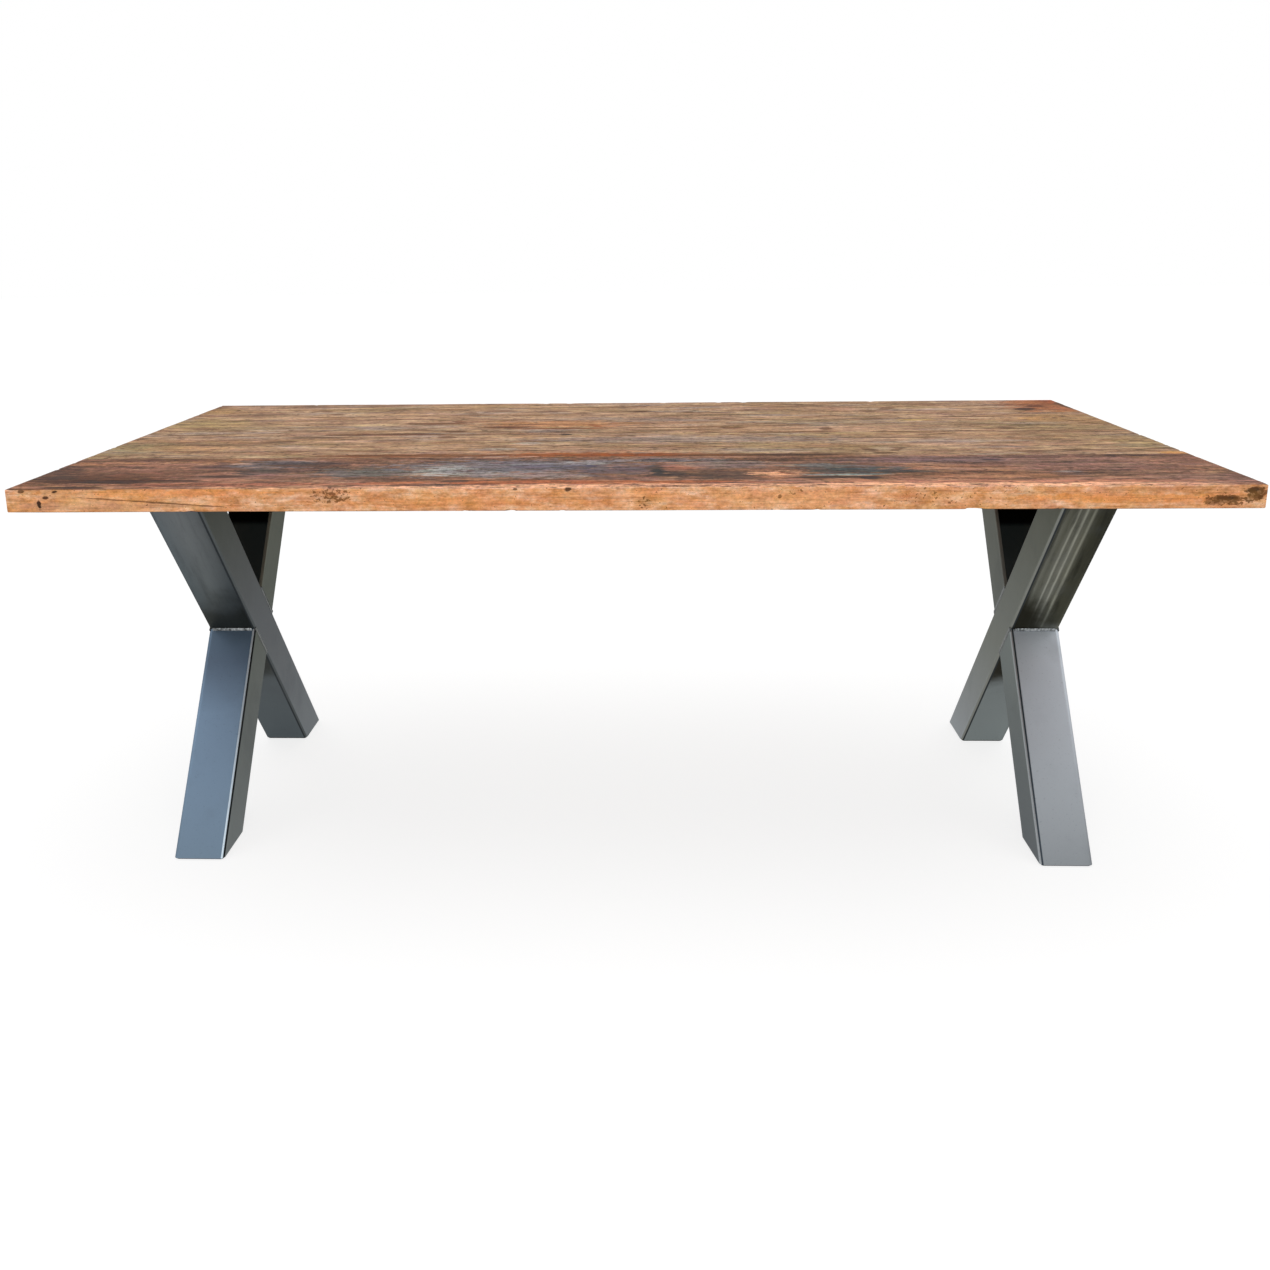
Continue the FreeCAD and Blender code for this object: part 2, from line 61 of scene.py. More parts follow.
# %% Place the camera
LENS = 37.48
SHIFT = 0.0367
EYE = Vector((0.0359, -2.7249, 1.1517))
TURN = (math.radians(73.48), math.radians(0.67), math.radians(2.38))

bpy.ops.object.camera_add(location=EYE, rotation=TURN)
camera = bpy.context.object
camera.data.lens = LENS
camera.data.shift_x = SHIFT
bpy.context.scene.camera = camera
print("Camera at", tuple(round(value, 3) for value in EYE), "with a", LENS, "mm lens")

# %% [markdown]
# ## Helpers for nodes, colours and materials
# A shader is a small network of nodes. Adding each by hand takes five lines, so one function adds a node,
# sets its properties, fills or links its inputs and hands back one of its outputs. Colours are picked on a
# screen as sRGB hex values, and Blender computes in linear light, so one function turns them round. Maths
# and noise are wanted often, so each has a function too. Three more start a material, end it, and give it
# to a CAD node.


# %% Node and colour helpers
def linear(hex_colour):
    """A hex colour such as "A07850" as linear red, green, blue and alpha."""
    parts = [int(hex_colour[place:place + 2], 16) / 255 for place in (0, 2, 4)]
    return tuple(p / 12.92 if p <= 0.04045 else ((p + 0.055) / 1.055) ** 2.4 for p in parts) + (1.0,)


def add(tree, kind, inputs=None, output=None, ramp=None, **settings):
    """Add a node with its settings, fill or link its inputs, and return one of its outputs."""
    new = tree.nodes.new("ShaderNode" + kind)
    for name, value in settings.items():
        setattr(new, name, value)
    if ramp:
        stops = new.color_ramp.elements
        while len(stops) < len(ramp):
            stops.new(1.0)
        for stop, (place, colour) in zip(stops, ramp):
            stop.position = place
            stop.color = linear(colour)
    for key, value in (inputs or {}).items():
        socket = new.inputs[key] if isinstance(key, int) else next(
            s for s in new.inputs if s.name == key and s.enabled)
        if isinstance(value, bpy.types.NodeSocket):
            tree.links.new(value, socket)
        else:
            socket.default_value = value
    if output:
        return new.outputs[output]
    return next((s for s in new.outputs if s.enabled), None)


def calculate(tree, operation, *values):
    """Add a Math node that works on one, two or three values."""
    return add(tree, "Math", dict(enumerate(values)), operation=operation)


def noise(tree, place, scale, detail, roughness=0.5, output=None):
    """Add a noise: features to a unit of its place, how many finer layers, and how strong those are."""
    return add(tree, "TexNoise", {"Vector": place, "Scale": scale, "Detail": detail,
                                  "Roughness": roughness}, output=output)


def dress(node, material):
    """Give a CAD node its material."""
    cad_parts[node].material_slots[0].material = material


def new_material(name):
    """An empty material and its node tree."""
    material = bpy.data.materials.new(name)
    material.use_nodes = True
    material.node_tree.nodes.clear()
    return material, material.node_tree


def close_material(material, tree, inputs):
    """End a material with a principled shader that has these inputs, and return it."""
    shader = add(tree, "BsdfPrincipled", inputs)
    add(tree, "OutputMaterial", {"Surface": shader})
    return material


# %% [markdown]
# ## Floor and light
# The table stands on a plain white floor in soft light. A wide sun straight above, dimmed white surroundings
# and a long, low strip lamp in front add up to a level at which a colour looks as it is written. The camera
# and reflections see pure white around the table. The floor glows a little for them and takes the rest of its
# brightness from the lamps, so that the table's soft shadow stays on it.

# %% World and lamps
SURROUNDINGS = 0.42
SUN_STRENGTH = 1.45
SUN_WIDTH = math.radians(80)
SUN_TILT = math.radians(-8)
STRIP_POWER = 32
STRIP_LENGTH = 2.6
STRIP_WIDTH = 0.14
STRIP_PLACE = (0, -3.3, 1.34)
STRIP_TILT = math.radians(78)

world = bpy.data.worlds.new("white_studio")
bpy.context.scene.world = world
world.use_nodes = True
world.node_tree.nodes.clear()


def sees_background(tree):
    """1 for camera, mirror and glass rays, 0 for the rays that carry light from surface to surface."""
    camera_ray = add(tree, "LightPath", output="Is Camera Ray")
    glossy_ray = add(tree, "LightPath", output="Is Glossy Ray")
    clear_ray = add(tree, "LightPath", output="Is Transmission Ray")
    either = calculate(tree, "MAXIMUM", camera_ray, glossy_ray)
    return calculate(tree, "MAXIMUM", either, clear_ray)


level = add(world.node_tree, "MapRange", {"Value": sees_background(world.node_tree), "To Min": SURROUNDINGS})
sky = add(world.node_tree, "Background", {"Color": linear("FFFFFF"), "Strength": level})
add(world.node_tree, "OutputWorld", {"Surface": sky})

bpy.ops.object.light_add(type="SUN", location=(0, 0, 4), rotation=(SUN_TILT, 0, 0))
sun = bpy.context.object
sun.data.energy = SUN_STRENGTH
sun.data.angle = SUN_WIDTH
sun.visible_glossy = False

bpy.ops.object.light_add(type="AREA", location=STRIP_PLACE, rotation=(STRIP_TILT, 0, 0))
strip = bpy.context.object
strip.data.shape = "RECTANGLE"
strip.data.size = STRIP_LENGTH
strip.data.size_y = STRIP_WIDTH
strip.data.energy = STRIP_POWER
print("Light: surroundings", SURROUNDINGS, "sun", SUN_STRENGTH, "strip", STRIP_POWER, "W")

# %% Floor
FLOOR_SIZE = 60
FLOOR_GLOW = 0.80
FLOOR_SHARE = 0.26

bpy.ops.mesh.primitive_plane_add(size=FLOOR_SIZE)
floor = bpy.context.object
floor.name = "floor"
material, tree = new_material("white_floor")
glow = add(tree, "Emission", {"Color": linear("FFFFFF"), "Strength": FLOOR_GLOW})
matt = add(tree, "BsdfDiffuse", {"Color": (FLOOR_SHARE, FLOOR_SHARE, FLOOR_SHARE, 1)})
seen = add(tree, "AddShader", {0: glow, 1: matt})
bounce = add(tree, "BsdfDiffuse", {"Color": linear("C8C8C8")})
surface = add(tree, "MixShader", {0: sees_background(tree), 1: bounce, 2: seen})
add(tree, "OutputMaterial", {"Surface": surface})
floor.data.materials.append(material)

bpy.context.scene.view_settings.view_transform = "Standard"
print("Floor", FLOOR_SIZE, "m square")

# %% [markdown]
# ## Old oak
# The planks are reclaimed boards, planed on top and oiled. Three scales of figure make such a board: broad
# patches where the tree or the weather coloured it, streaks of a finger's width, and fibres of a few
# millimetres. All run along the plank, so one noise is stretched along X at several sizes. Knots, rust marks
# and stains sit where they happened, each as a soft-edged spot with its own place and size in millimetres.

# %% Patterns shared by all wood
CORE = 0.65
RIM = 1.1
DARKEST = 0.12


def grain(tree, place, seed, length, width, detail=3.0, roughness=0.6, output=None):
    """Noise stretched along the plank: features about length by width, in millimetres. Another seed shows
    another part of the noise."""
    across = 1 / (width * MM)
    stretched = add(tree, "Mapping", {"Vector": place, "Location": (seed * 3.7, seed * 1.3, seed * 0.7),
                                      "Scale": (1 / (length * MM), across, across)})
    return noise(tree, stretched, 1.0, detail, roughness, output)


def paint(tree, mask, under, over, blend="MIX"):
    """Lay one colour over another where the mask says."""
    return add(tree, "Mix", {"Factor": mask, "A": under, "B": over}, data_type="RGBA", blend_type=blend)


def between(tree, value, low, high, top=1.0):
    """Stretch the part of a value from low to high to 0 to top, softly."""
    return add(tree, "MapRange", {"Value": value, "From Min": low, "From Max": high, "To Max": top},
               interpolation_type="SMOOTHSTEP")


def tint(tree, under, tone, value, low, high, top=1.0):
    """Lay a hex colour over another colour where a value runs from low to high."""
    return paint(tree, between(tree, value, low, high, top), under, linear(tone))


def tear(tree, place, fibre, reach):
    """Coordinates moved along the grain, differently in every fibre, so that a stain ends in streaks."""
    shift = calculate(tree, "MULTIPLY_ADD", fibre, reach * MM, -reach * MM / 2)
    shift = add(tree, "CombineXYZ", {"X": shift})
    return add(tree, "VectorMath", {0: place, 1: shift}, operation="ADD")


def spot(tree, ground, strength, centre, half_size, turn=(0, 0, 0)):
    """A mask: the strength inside an ellipsoid, 0 outside. Millimetres, degrees.
    ground: the coordinates, a noise that frays the edge, and how much it does so."""
    place, fray, raggedness = ground
    local = add(tree, "VectorMath", {0: place, 1: [value * MM for value in centre]}, operation="SUBTRACT")
    if any(turn):
        angles = [math.radians(value) for value in turn]
        local = add(tree, "VectorRotate", {"Vector": local, "Rotation": angles},
                    rotation_type="EULER_XYZ", invert=True)
    local = add(tree, "VectorMath", {0: local, 1: [value * MM for value in half_size]}, operation="DIVIDE")
    distance = add(tree, "VectorMath", {0: local}, operation="LENGTH", output="Value")
    frayed = calculate(tree, "MULTIPLY_ADD", fray, raggedness, distance)
    # the noise averages a half, so on average the mark is full up to its core and ends at its rim
    return between(tree, frayed, RIM + raggedness / 2, CORE + raggedness / 2, strength)


def paint_marks(tree, ground, colour, marks):
    """Lay every mark of a list over a colour: hex colour, strength, centre, half size and turn if any."""
    for tone, *shape in marks:
        colour = paint(tree, spot(tree, ground, *shape), colour, linear(tone))
    return colour


def uneven(tree, start, *shares):
    """A brightness around the start value: each pair is a noise and how strongly it brightens or darkens."""
    level = start - sum(share for _, share in shares) / 2
    for pattern, share in shares:
        level = calculate(tree, "MULTIPLY_ADD", pattern, share, level)
    return calculate(tree, "MAXIMUM", level, DARKEST)


# %% The oak of one plank
EDGE_TONES = ("D8925A", "EBAC7C", "F4C6A2")
END_TONES = ("94704E", "A88260", "B8906C")
WANDER = Vector((0.0, 0.03, 0.01))

# how strongly noise frays a mark's outline, and how far fibres drag it along the plank, in millimetres
STAIN_FRAY = 3.2
STRIP_FRAY = 2.4
KNOT_FRAY = 1.4
EDGE_FRAY = 3.6
STAIN_TEAR = 90
KNOT_TEAR = 40


def old_oak(name, tones, tints, stains, knots, seed, depth=1.5, strips=(), edge_marks=(), wormholes=()):
    """Oiled reclaimed oak. The grey-brown face is a thin weathered skin, and a sawn edge shows the warm wood
    under it. Dry open pores keep it dull, so it has a high roughness and a weak highlight.
    tones: dark, middle and light of the face. tints: colours of its broad patches. stains: marks with a
    ragged outline. knots: small ones with a crisp outline. depth: how strongly the face is streaked.
    strips: long marks with a wavy outline. wormholes: clusters of beetle holes in the edge."""
    material, tree = new_material(name)
    coordinates = add(tree, "TexCoord", output="Object")
    facing = add(tree, "TexCoord", output="Normal")
    side = add(tree, "SeparateXYZ", {"Vector": facing}, output="X")
    front = add(tree, "SeparateXYZ", {"Vector": facing}, output="Y")

    # the grain wanders: a broad noise shifts the pattern up to 15 mm across the plank
    slow = add(tree, "Mapping", {"Vector": coordinates, "Location": (seed, 0, 0), "Scale": (1.3, 5, 5)})
    drift = noise(tree, slow, 1.0, 2.0, output="Color")
    place = add(tree, "VectorMath", {0: drift, 1: WANDER, 2: coordinates}, operation="MULTIPLY_ADD")
    place = add(tree, "VectorMath", {0: place, 1: WANDER / 2}, operation="SUBTRACT")

    patches = grain(tree, place, seed, 480, 120)
    tinge = grain(tree, place, seed + 5, 240, 60)
    streaks = grain(tree, place, seed, 520, 46, detail=5.0)
    dashes = grain(tree, place, seed + 8, 110, 24, detail=4.0)
    fibres = grain(tree, place, seed, 110, 2.6, detail=4.0, roughness=0.65)
    fray = grain(tree, coordinates, seed + 9, 36, 12, detail=6.0, roughness=0.7)
    # pores and flecks are about a millimetre wide on the real board; most are drawn ten times as wide,
    # because the top is seen at a flat angle and finer ones would average out to one even colour
    mottle = grain(tree, place, seed + 3, 24, 10, detail=5.0, roughness=0.8)
    threads = grain(tree, place, seed + 11, 260, 3.2, detail=5.0, roughness=0.75)
    pits = grain(tree, place, seed + 14, 7, 12, detail=3.0, roughness=0.7)
    hues = grain(tree, place, seed + 4, 44, 18, detail=4.0, roughness=0.7, output="Color")
    lines = grain(tree, place, seed + 10, 300, 9)
    flecks = grain(tree, place, seed + 2, 60, 9, detail=4.0)
    ticks = grain(tree, place, seed + 6, 24, 9, detail=2.0)

    # face: three tones, broad tints, the marks of this plank, and then its streaks over all of them
    face = add(tree, "ValToRGB", {"Fac": dashes}, ramp=list(zip((0.3, 0.5, 0.7), tones)))
    face = tint(tree, face, tints[0], patches, 0.5, 0.66, 0.8)
    face = tint(tree, face, tints[1], patches, 0.5, 0.34, 0.8)
    face = tint(tree, face, tints[2], tinge, 0.53, 0.66, 0.7)
    face = tint(tree, face, tints[3], tinge, 0.47, 0.34, 0.7)
    fibre = grain(tree, coordinates, seed + 13, 160, 4.0, detail=4.0, roughness=0.7)
    waves = grain(tree, coordinates, seed + 12, 90, 14, detail=5.0)
    face = paint_marks(tree, (tear(tree, coordinates, fibre, STAIN_TEAR), fray, STAIN_FRAY), face, stains)
    face = paint_marks(tree, (coordinates, waves, STRIP_FRAY), face, strips)
    face = paint_marks(tree, (tear(tree, coordinates, fibre, KNOT_TEAR), fray, KNOT_FRAY), face, knots)
    streaked = uneven(tree, 1.09, (streaks, 1.1 * depth), (dashes, 0.9 * depth), (mottle, 1.9 * depth),
                      (threads, 1.3 * depth), (pits, 0.75 * depth))
    face = paint(tree, 1.0, face, streaked, blend="MULTIPLY")
    face = tint(tree, face, "5E402C", lines, 0.61, 0.67, 0.7)
    face = tint(tree, face, "5A3E2B", flecks, 0.58, 0.64, 0.75)
    face = tint(tree, face, "4E3526", ticks, 0.61, 0.66, 0.85)

    # edges: warm freshly sawn wood with short curly grain and specks
    curl = grain(tree, place, seed + 1, 36, 13, detail=4.0, roughness=0.75)
    specks = grain(tree, coordinates, seed + 7, 8, 6, detail=4.0, roughness=0.7)
    edge = add(tree, "ValToRGB", {"Fac": curl}, ramp=list(zip((0.34, 0.5, 0.66), EDGE_TONES)))
    edge = tint(tree, edge, "F0A466", tinge, 0.5, 0.62, 0.5)
    edge = tint(tree, edge, "DFB183", patches, 0.5, 0.38, 0.5)
    edge = paint_marks(tree, (coordinates, fray, EDGE_FRAY), edge, edge_marks)
    grainy = uneven(tree, 1.0, (curl, 0.5), (mottle, 0.9), (specks, 1.3))
    edge = paint(tree, 1.0, edge, grainy, blend="MULTIPLY")
    bored = add(tree, "Value")
    bored.node.outputs[0].default_value = 0.0
    for shape in wormholes:
        nest = spot(tree, (coordinates, fray, EDGE_FRAY), *shape)
        bored = calculate(tree, "MAXIMUM", bored, nest)
    thin = calculate(tree, "MULTIPLY_ADD", bored, 0.16, specks)
    edge = tint(tree, edge, "66421F", thin, 0.62, 0.68, 0.8)

    # ends: the rings and pores are cut across, and the rings bend as the tree grew
    pith = add(tree, "Mapping", {"Vector": coordinates, "Location": (0, seed * 0.11, 0.35),
                                 "Scale": (0, 1, 1)})
    rings = add(tree, "TexWave", {"Vector": pith, "Scale": 60.0, "Distortion": 16.0, "Detail": 2.0,
                                  "Detail Scale": 0.12},
                output="Fac", wave_type="RINGS", rings_direction="X")
    end = add(tree, "ValToRGB", {"Fac": rings}, ramp=list(zip((0.1, 0.5, 0.9), END_TONES)))
    end = paint(tree, 1.0, end, uneven(tree, 1.0, (specks, 1.4), (mottle, 1.2)), blend="MULTIPLY")
    facing_side = calculate(tree, "ABSOLUTE", front)
    colour = paint(tree, between(tree, facing_side, 0.55, 0.85), face, edge)
    across = calculate(tree, "ABSOLUTE", side)
    colour = paint(tree, between(tree, across, 0.6, 0.9), colour, end)

    # over everything: a little play of hue, and dark fibres
    colour = paint(tree, 0.3, colour, hues, blend="SOFT_LIGHT")
    darker = add(tree, "ValToRGB", {"Fac": fibres}, ramp=[(0.3, "8C8480"), (0.5, "F0ECE8"), (0.7, "FFFFFF")])
    colour = paint(tree, 0.5, colour, darker, blend="MULTIPLY")

    # the fibres stand proud by about a quarter of a millimetre, and pores and flecks sink in
    relief = calculate(tree, "MULTIPLY_ADD", mottle, 0.6, fibres)
    bump = add(tree, "Bump", {"Height": relief, "Distance": 0.0008, "Strength": 0.6})
    rough = add(tree, "MapRange", {"Value": mottle, "To Min": 0.62, "To Max": 0.82})
    return close_material(material, tree, {"Base Color": colour, "Roughness": rough, "Normal": bump,
                                           "IOR": 1.5, "Specular IOR Level": 0.12})


# %% [markdown]
# ## Where the marks are
# Each plank gets its own lists of marks, in short rows that two functions fill in: the top surface and the
# front edge lie flat, so a row leaves out what all its marks share. X runs to the right, Y to the back and Z
# up, in millimetres. A mark on the top reaches 24 down, so it colours the top and its arris, and not the
# underside. A list goes mostly from the left end of a plank to its right end.

# %% Short rows of marks
front_low, front_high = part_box("top_board_front")
TOP = round(front_high.z / MM)
TOP_REACH = 24
FRONT = round(front_low.y / MM)


def on_top(rows):
    """Rows of hex colour, percent, X, Y, half length, half width, and a turn in degrees if askew."""
    return [(tone, strength / 100, (x, y, TOP), (half_x, half_y, TOP_REACH), (0, 0, sum(turn)))
            for tone, strength, x, y, half_x, half_y, *turn in rows]


def on_edge(rows):
    """Rows of hex colour, percent, X, Z, half length, reach inwards, half height, and a turn if askew."""
    return [(tone, strength / 100, (x, FRONT, z), (half_x, reach, half_z), (0, sum(turn), 0))
            for tone, strength, x, z, half_x, reach, half_z, *turn in rows]


# %% Marks of the front plank
FRONT_STAINS = on_top([
    # the dark, weathered left end
    ("704A38", 75, -922, -450, 260, 90), ("4E2E1C", 85, -925, -500, 150, 50),
    ("4E362C", 80, -1010, -430, 50, 90), ("8E6454", 60, -852, -367, 110, 50),
    ("A06E5A", 60, -711, -513, 100, 24),
    # stained and knotty stretch
    ("5F4640", 80, -732, -363, 55, 40), ("6E6A6C", 80, -640, -345, 90, 50),
    ("4A403C", 85, -643, -419, 56, 40), ("62605C", 85, -450, -440, 110, 56),
    # slate patch left by old paint
    ("78767C", 85, -200, -375, 240, 80), ("A3A19C", 85, -325, -420, 52, 70),
    ("9A9592", 75, -255, -460, 60, 34), ("8C8382", 65, -150, -474, 120, 34),
    ("5C5664", 70, -120, -380, 110, 24), ("A8A2A2", 80, -75, -344, 50, 24),
    # purple stretch with the black crack
    ("968E90", 75, 53, -316, 150, 22), ("5A4C50", 85, -10, -420, 90, 60),
    ("A0644E", 70, 96, -401, 40, 28), ("262422", 95, 57, -430, 15, 66),
    ("2E2A2A", 90, 68, -472, 46, 20), ("473830", 80, 165, -480, 90, 50),
    ("7B6C68", 70, 183, -366, 90, 50),
    # pale knot and slate streak
    ("E0A47E", 90, 262, -459, 48, 34), ("72716E", 80, 345, -385, 70, 30),
    ("5A5754", 80, 400, -405, 110, 26), ("3A4445", 92, 400, -440, 116, 34),
    ("F0B48A", 80, 282, -446, 30, 14),
    # reddish right end
    ("735A5A", 75, 533, -323, 190, 40), ("7E5E54", 60, 830, -400, 180, 60),
    ("7A5448", 60, 994, -332, 44, 60),
])
FRONT_KNOTS = on_top([
    ("3A2014", 85, -930, -520, 74, 20), ("3A2014", 80, -838, -506, 60, 11),
    ("6A473A", 70, -918, -295, 150, 12), ("B08E7C", 70, -706, -338, 26, 14),
    ("5E4034", 80, -577, -357, 100, 14), ("35324A", 80, -61, -379, 14, 14),
    ("3E2C24", 85, -284, -528, 26, 14), ("3F3B40", 85, 51, -308, 44, 9),
    ("7A3E28", 90, 270, -452, 7, 14), ("7A3E28", 90, 282, -462, 6, 12),
    ("7E8E8C", 80, 375, -478, 80, 12), ("1C1616", 95, 350, -504, 84, 13),
    ("2A2022", 90, 410, -510, 22, 18), ("3A3634", 85, 489, -453, 56, 12),
    ("30262A", 90, 660, -327, 22, 12), ("9A9088", 75, 752, -458, 30, 12),
    ("6A5048", 75, 753, -486, 36, 12),
    # dark torn streaks in the left end
    ("3E2A22", 90, -982, -482, 34, 28), ("36211A", 95, -872, -523, 84, 16),
    ("B07C66", 55, -905, -548, 80, 9), ("36211A", 90, -770, -512, 52, 13),
    ("36211A", 95, -920, -574, 66, 11), ("402A24", 90, -690, -472, 44, 15),
    ("46393C", 85, -585, -338, 95, 14), ("543828", 85, -880, -280, 140, 12),
])

# rust and bare wood along the arris, where the plane took the skin off; the long pale F0B48E strip along
# the arris is a painted highlight
ARRIS_STRIPS = on_top([
    ("A25C38", 85, -100, -546, 350, 24), ("9C6048", 75, -640, -552, 230, 20),
    ("A86E54", 70, 640, -552, 380, 20), ("F0B48E", 90, 200, -583, 840, 26),
    ("5A3E30", 85, -923, -590, 170, 9),
])

print(len(FRONT_STAINS), "stains and", len(FRONT_KNOTS), "knots on the front plank")

# %% Marks of the three other planks
MIDDLE_FRONT_STAINS = on_top([
    ("9A8A60", 55, -973, -138, 90, 80), ("B08660", 50, -868, -148, 120, 60),
    ("7C5C46", 70, -473, -49, 60, 30), ("B8AEA4", 55, -259, -175, 48, 20),
    ("A2938C", 55, 120, -49, 330, 50), ("BA8662", 60, -145, -216, 250, 34),
    ("9C5424", 95, -96, -246, 190, 28), ("C08A6A", 65, -15, -204, 46, 24),
    ("83644A", 70, 887, 29, 120, 26), ("9C8458", 55, 989, -133, 66, 70),
])
MIDDLE_FRONT_KNOTS = on_top([
    ("8A6A50", 68, -800, -94, 92, 21), ("5E4432", 93, -710, -55, 48, 14),
    ("8A6C54", 68, -670, 6, 39, 21), ("6E4E3A", 93, -374, -3, 25, 19),
    ("B8AEA4", 55, -196, -95, 30, 21), ("3A2A26", 95, -129, 32, 13, 19),
    ("774A2C", 95, -395, -248, 218, 24), ("944C1E", 95, 34, -252, 184, 23),
    ("623E24", 95, 191, -255, 126, 21), ("4A3020", 95, 308, -256, 103, 19),
    ("5E4430", 93, 481, -240, 28, 15), ("7A5C40", 88, 460, -199, 12, 34, 25),
    ("7A5C40", 78, 511, -199, 13, 24, -30), ("C2A88C", 68, 489, -188, 21, 21),
    ("7C5E46", 83, 488, -37, 69, 15), ("886A50", 73, 597, -51, 39, 18),
    ("785A42", 78, 759, -242, 28, 18), ("765840", 83, 849, -214, 46, 13),
    ("C08A50", 83, 1005, -262, 30, 23), ("6A4630", 95, -515, 36, 161, 11),
])
MIDDLE_BACK_STAINS = on_top([
    ("A58C5E", 60, -957, 239, 110, 100), ("C4A87C", 55, -557, 192, 60, 24),
    ("BE8456", 75, -167, 195, 190, 62), ("BE8A54", 60, 888, 239, 36, 30),
    ("A9814F", 50, 956, 224, 90, 120),
])
MIDDLE_BACK_KNOTS = on_top([
    ("775840", 83, -927, 142, 37, 15), ("7F6047", 73, -858, 115, 30, 18),
    ("6A4630", 95, -515, 43, 172, 13), ("7A5038", 88, -424, 213, 85, 15),
    ("7A5038", 83, -380, 246, 14, 22, 30), ("64442E", 93, -367, 87, 30, 17),
    ("825C42", 83, -265, 44, 132, 10), ("5E3018", 95, -262, 150, 76, 15),
    ("85502F", 93, -148, 122, 150, 11), ("955834", 73, -75, 165, 12, 44, 20),
    ("8A6242", 83, 2, 204, 64, 19), ("946E50", 73, 115, 202, 69, 15),
    ("84603F", 88, 124, 133, 138, 11), ("704C30", 93, 222, 120, 34, 14),
    ("7E6048", 78, 135, 351, 16, 24), ("7E5E45", 83, 207, 269, 41, 14),
    ("745640", 88, 166, 46, 30, 13), ("755438", 93, 326, 46, 126, 10),
    ("6A4A32", 93, 417, 96, 18, 21), ("7C5C3E", 88, 626, 46, 150, 10),
    ("BC9A5C", 73, 630, 229, 48, 18), ("84644A", 73, 666, 211, 30, 18),
    ("7C5E44", 83, 792, 97, 23, 23), ("83644A", 78, 888, 45, 138, 18),
])
BACK_STAINS = on_top([
    ("72503E", 70, -1023, 497, 26, 130), ("B08A58", 55, -991, 468, 44, 80),
    ("86644C", 70, -872, 412, 62, 34), ("8E6C54", 60, -755, 540, 66, 24),
    ("83624A", 75, -306, 429, 46, 20), ("BA8A72", 65, 500, 428, 46, 40),
    ("6A4C34", 80, 550, 395, 20, 22), ("8A6A5E", 65, 786, 573, 50, 24),
    ("A86238", 85, 988, 518, 100, 200), ("8A4826", 80, 1010, 561, 32, 64),
])
BACK_KNOTS = on_top([
    ("6A4C36", 60, -744, 452, 32, 18, 14), ("7A5A42", 83, -691, 392, 23, 18),
    ("80604A", 83, -558, 469, 28, 23), ("82624A", 78, -373, 401, 15, 36, 25),
    ("CCAC90", 68, -290, 473, 57, 18), ("80604A", 78, -197, 414, 39, 19),
    ("7A5A44", 78, -113, 384, 21, 16), ("694833", 93, 23, 413, 20, 21),
    ("745440", 83, 136, 394, 16, 24), ("745440", 88, 279, 425, 23, 16),
    ("7E5E44", 83, 601, 434, 18, 42, -25), ("64361F", 93, 952, 463, 39, 21, 40),
    ("2E1B12", 95, 917, 410, 30, 23, 25), ("4E3628", 88, 1030, 477, 19, 90),
])

# %% Marks and wormholes of the front edge
EDGE_MARKS = on_edge([
    # the two pale F0C2A4 lines along the top of the edge are a painted highlight on the arris
    ("F0C2A4", 70, -198, 770, 460, 8, 3), ("F0C2A4", 70, 653, 770, 500, 8, 3),
    ("8A6048", 80, -901, 771, 190, 8, 3), ("F0A060", 70, -754, 763, 190, 12, 7),
    ("E09458", 60, -278, 746, 230, 12, 8), ("D9A27C", 60, -882, 741, 170, 12, 7),
    ("F0AC78", 60, 284, 751, 150, 12, 14), ("EE9C58", 70, 809, 748, 170, 12, 8),
    ("C98C5C", 60, 884, 762, 150, 12, 5),
    # a long grain line that falls to the right, a slit, and old nail holes
    ("7A5438", 80, -781, 747, 130, 12, 1.4, 4), ("2A1C16", 95, -974, 746, 4, 12, 9),
    ("2A1C16", 95, -946, 765, 9, 12, 3.5), ("3C281C", 90, -962, 755, 5, 12, 3),
    ("5A3C28", 85, -1003, 766, 5, 12, 3), ("3E261A", 90, -91, 767, 6, 12, 4),
    ("54381F", 80, -177, 766, 5, 12, 3), ("6A4426", 75, 254, 753, 3, 12, 4),
    # the right end has gone soft and dark
    ("86603C", 70, 964, 744, 28, 14, 8), ("3C2818", 80, 966, 747, 15, 14, 3.5),
    ("7E5A3A", 75, 1010, 754, 24, 20, 14), ("40281A", 75, 1004, 761, 10, 14, 4),
    ("4A2A1C", 75, 1020, 748, 6, 14, 7),
])
WORMHOLES = [
    (1.0, (-488, FRONT, 757), (36, 14, 15)),
    (0.8, (33, FRONT, 742), (16, 14, 10)),
    (0.4, (490, FRONT, 754), (70, 14, 14)),
    (0.45, (625, FRONT, 763), (70, 14, 8)),
    (0.4, (273, FRONT, 761), (40, 14, 6)),
    (1.0, (968, FRONT, 744), (32, 14, 10)),
    (1.05, (1010, FRONT, 752), (28, 20, 18)),
]
FACE_TONES = ("86644A", "AD896A", "C8A888")
FACE_TINTS = ("B69178", "A38A64", "AA978A", "9A7452")
DARK_TONES = ("64422F", "8A624C", "A67E64")
DARK_TINTS = ("7C5C50", "946648", "86655A", "644536")

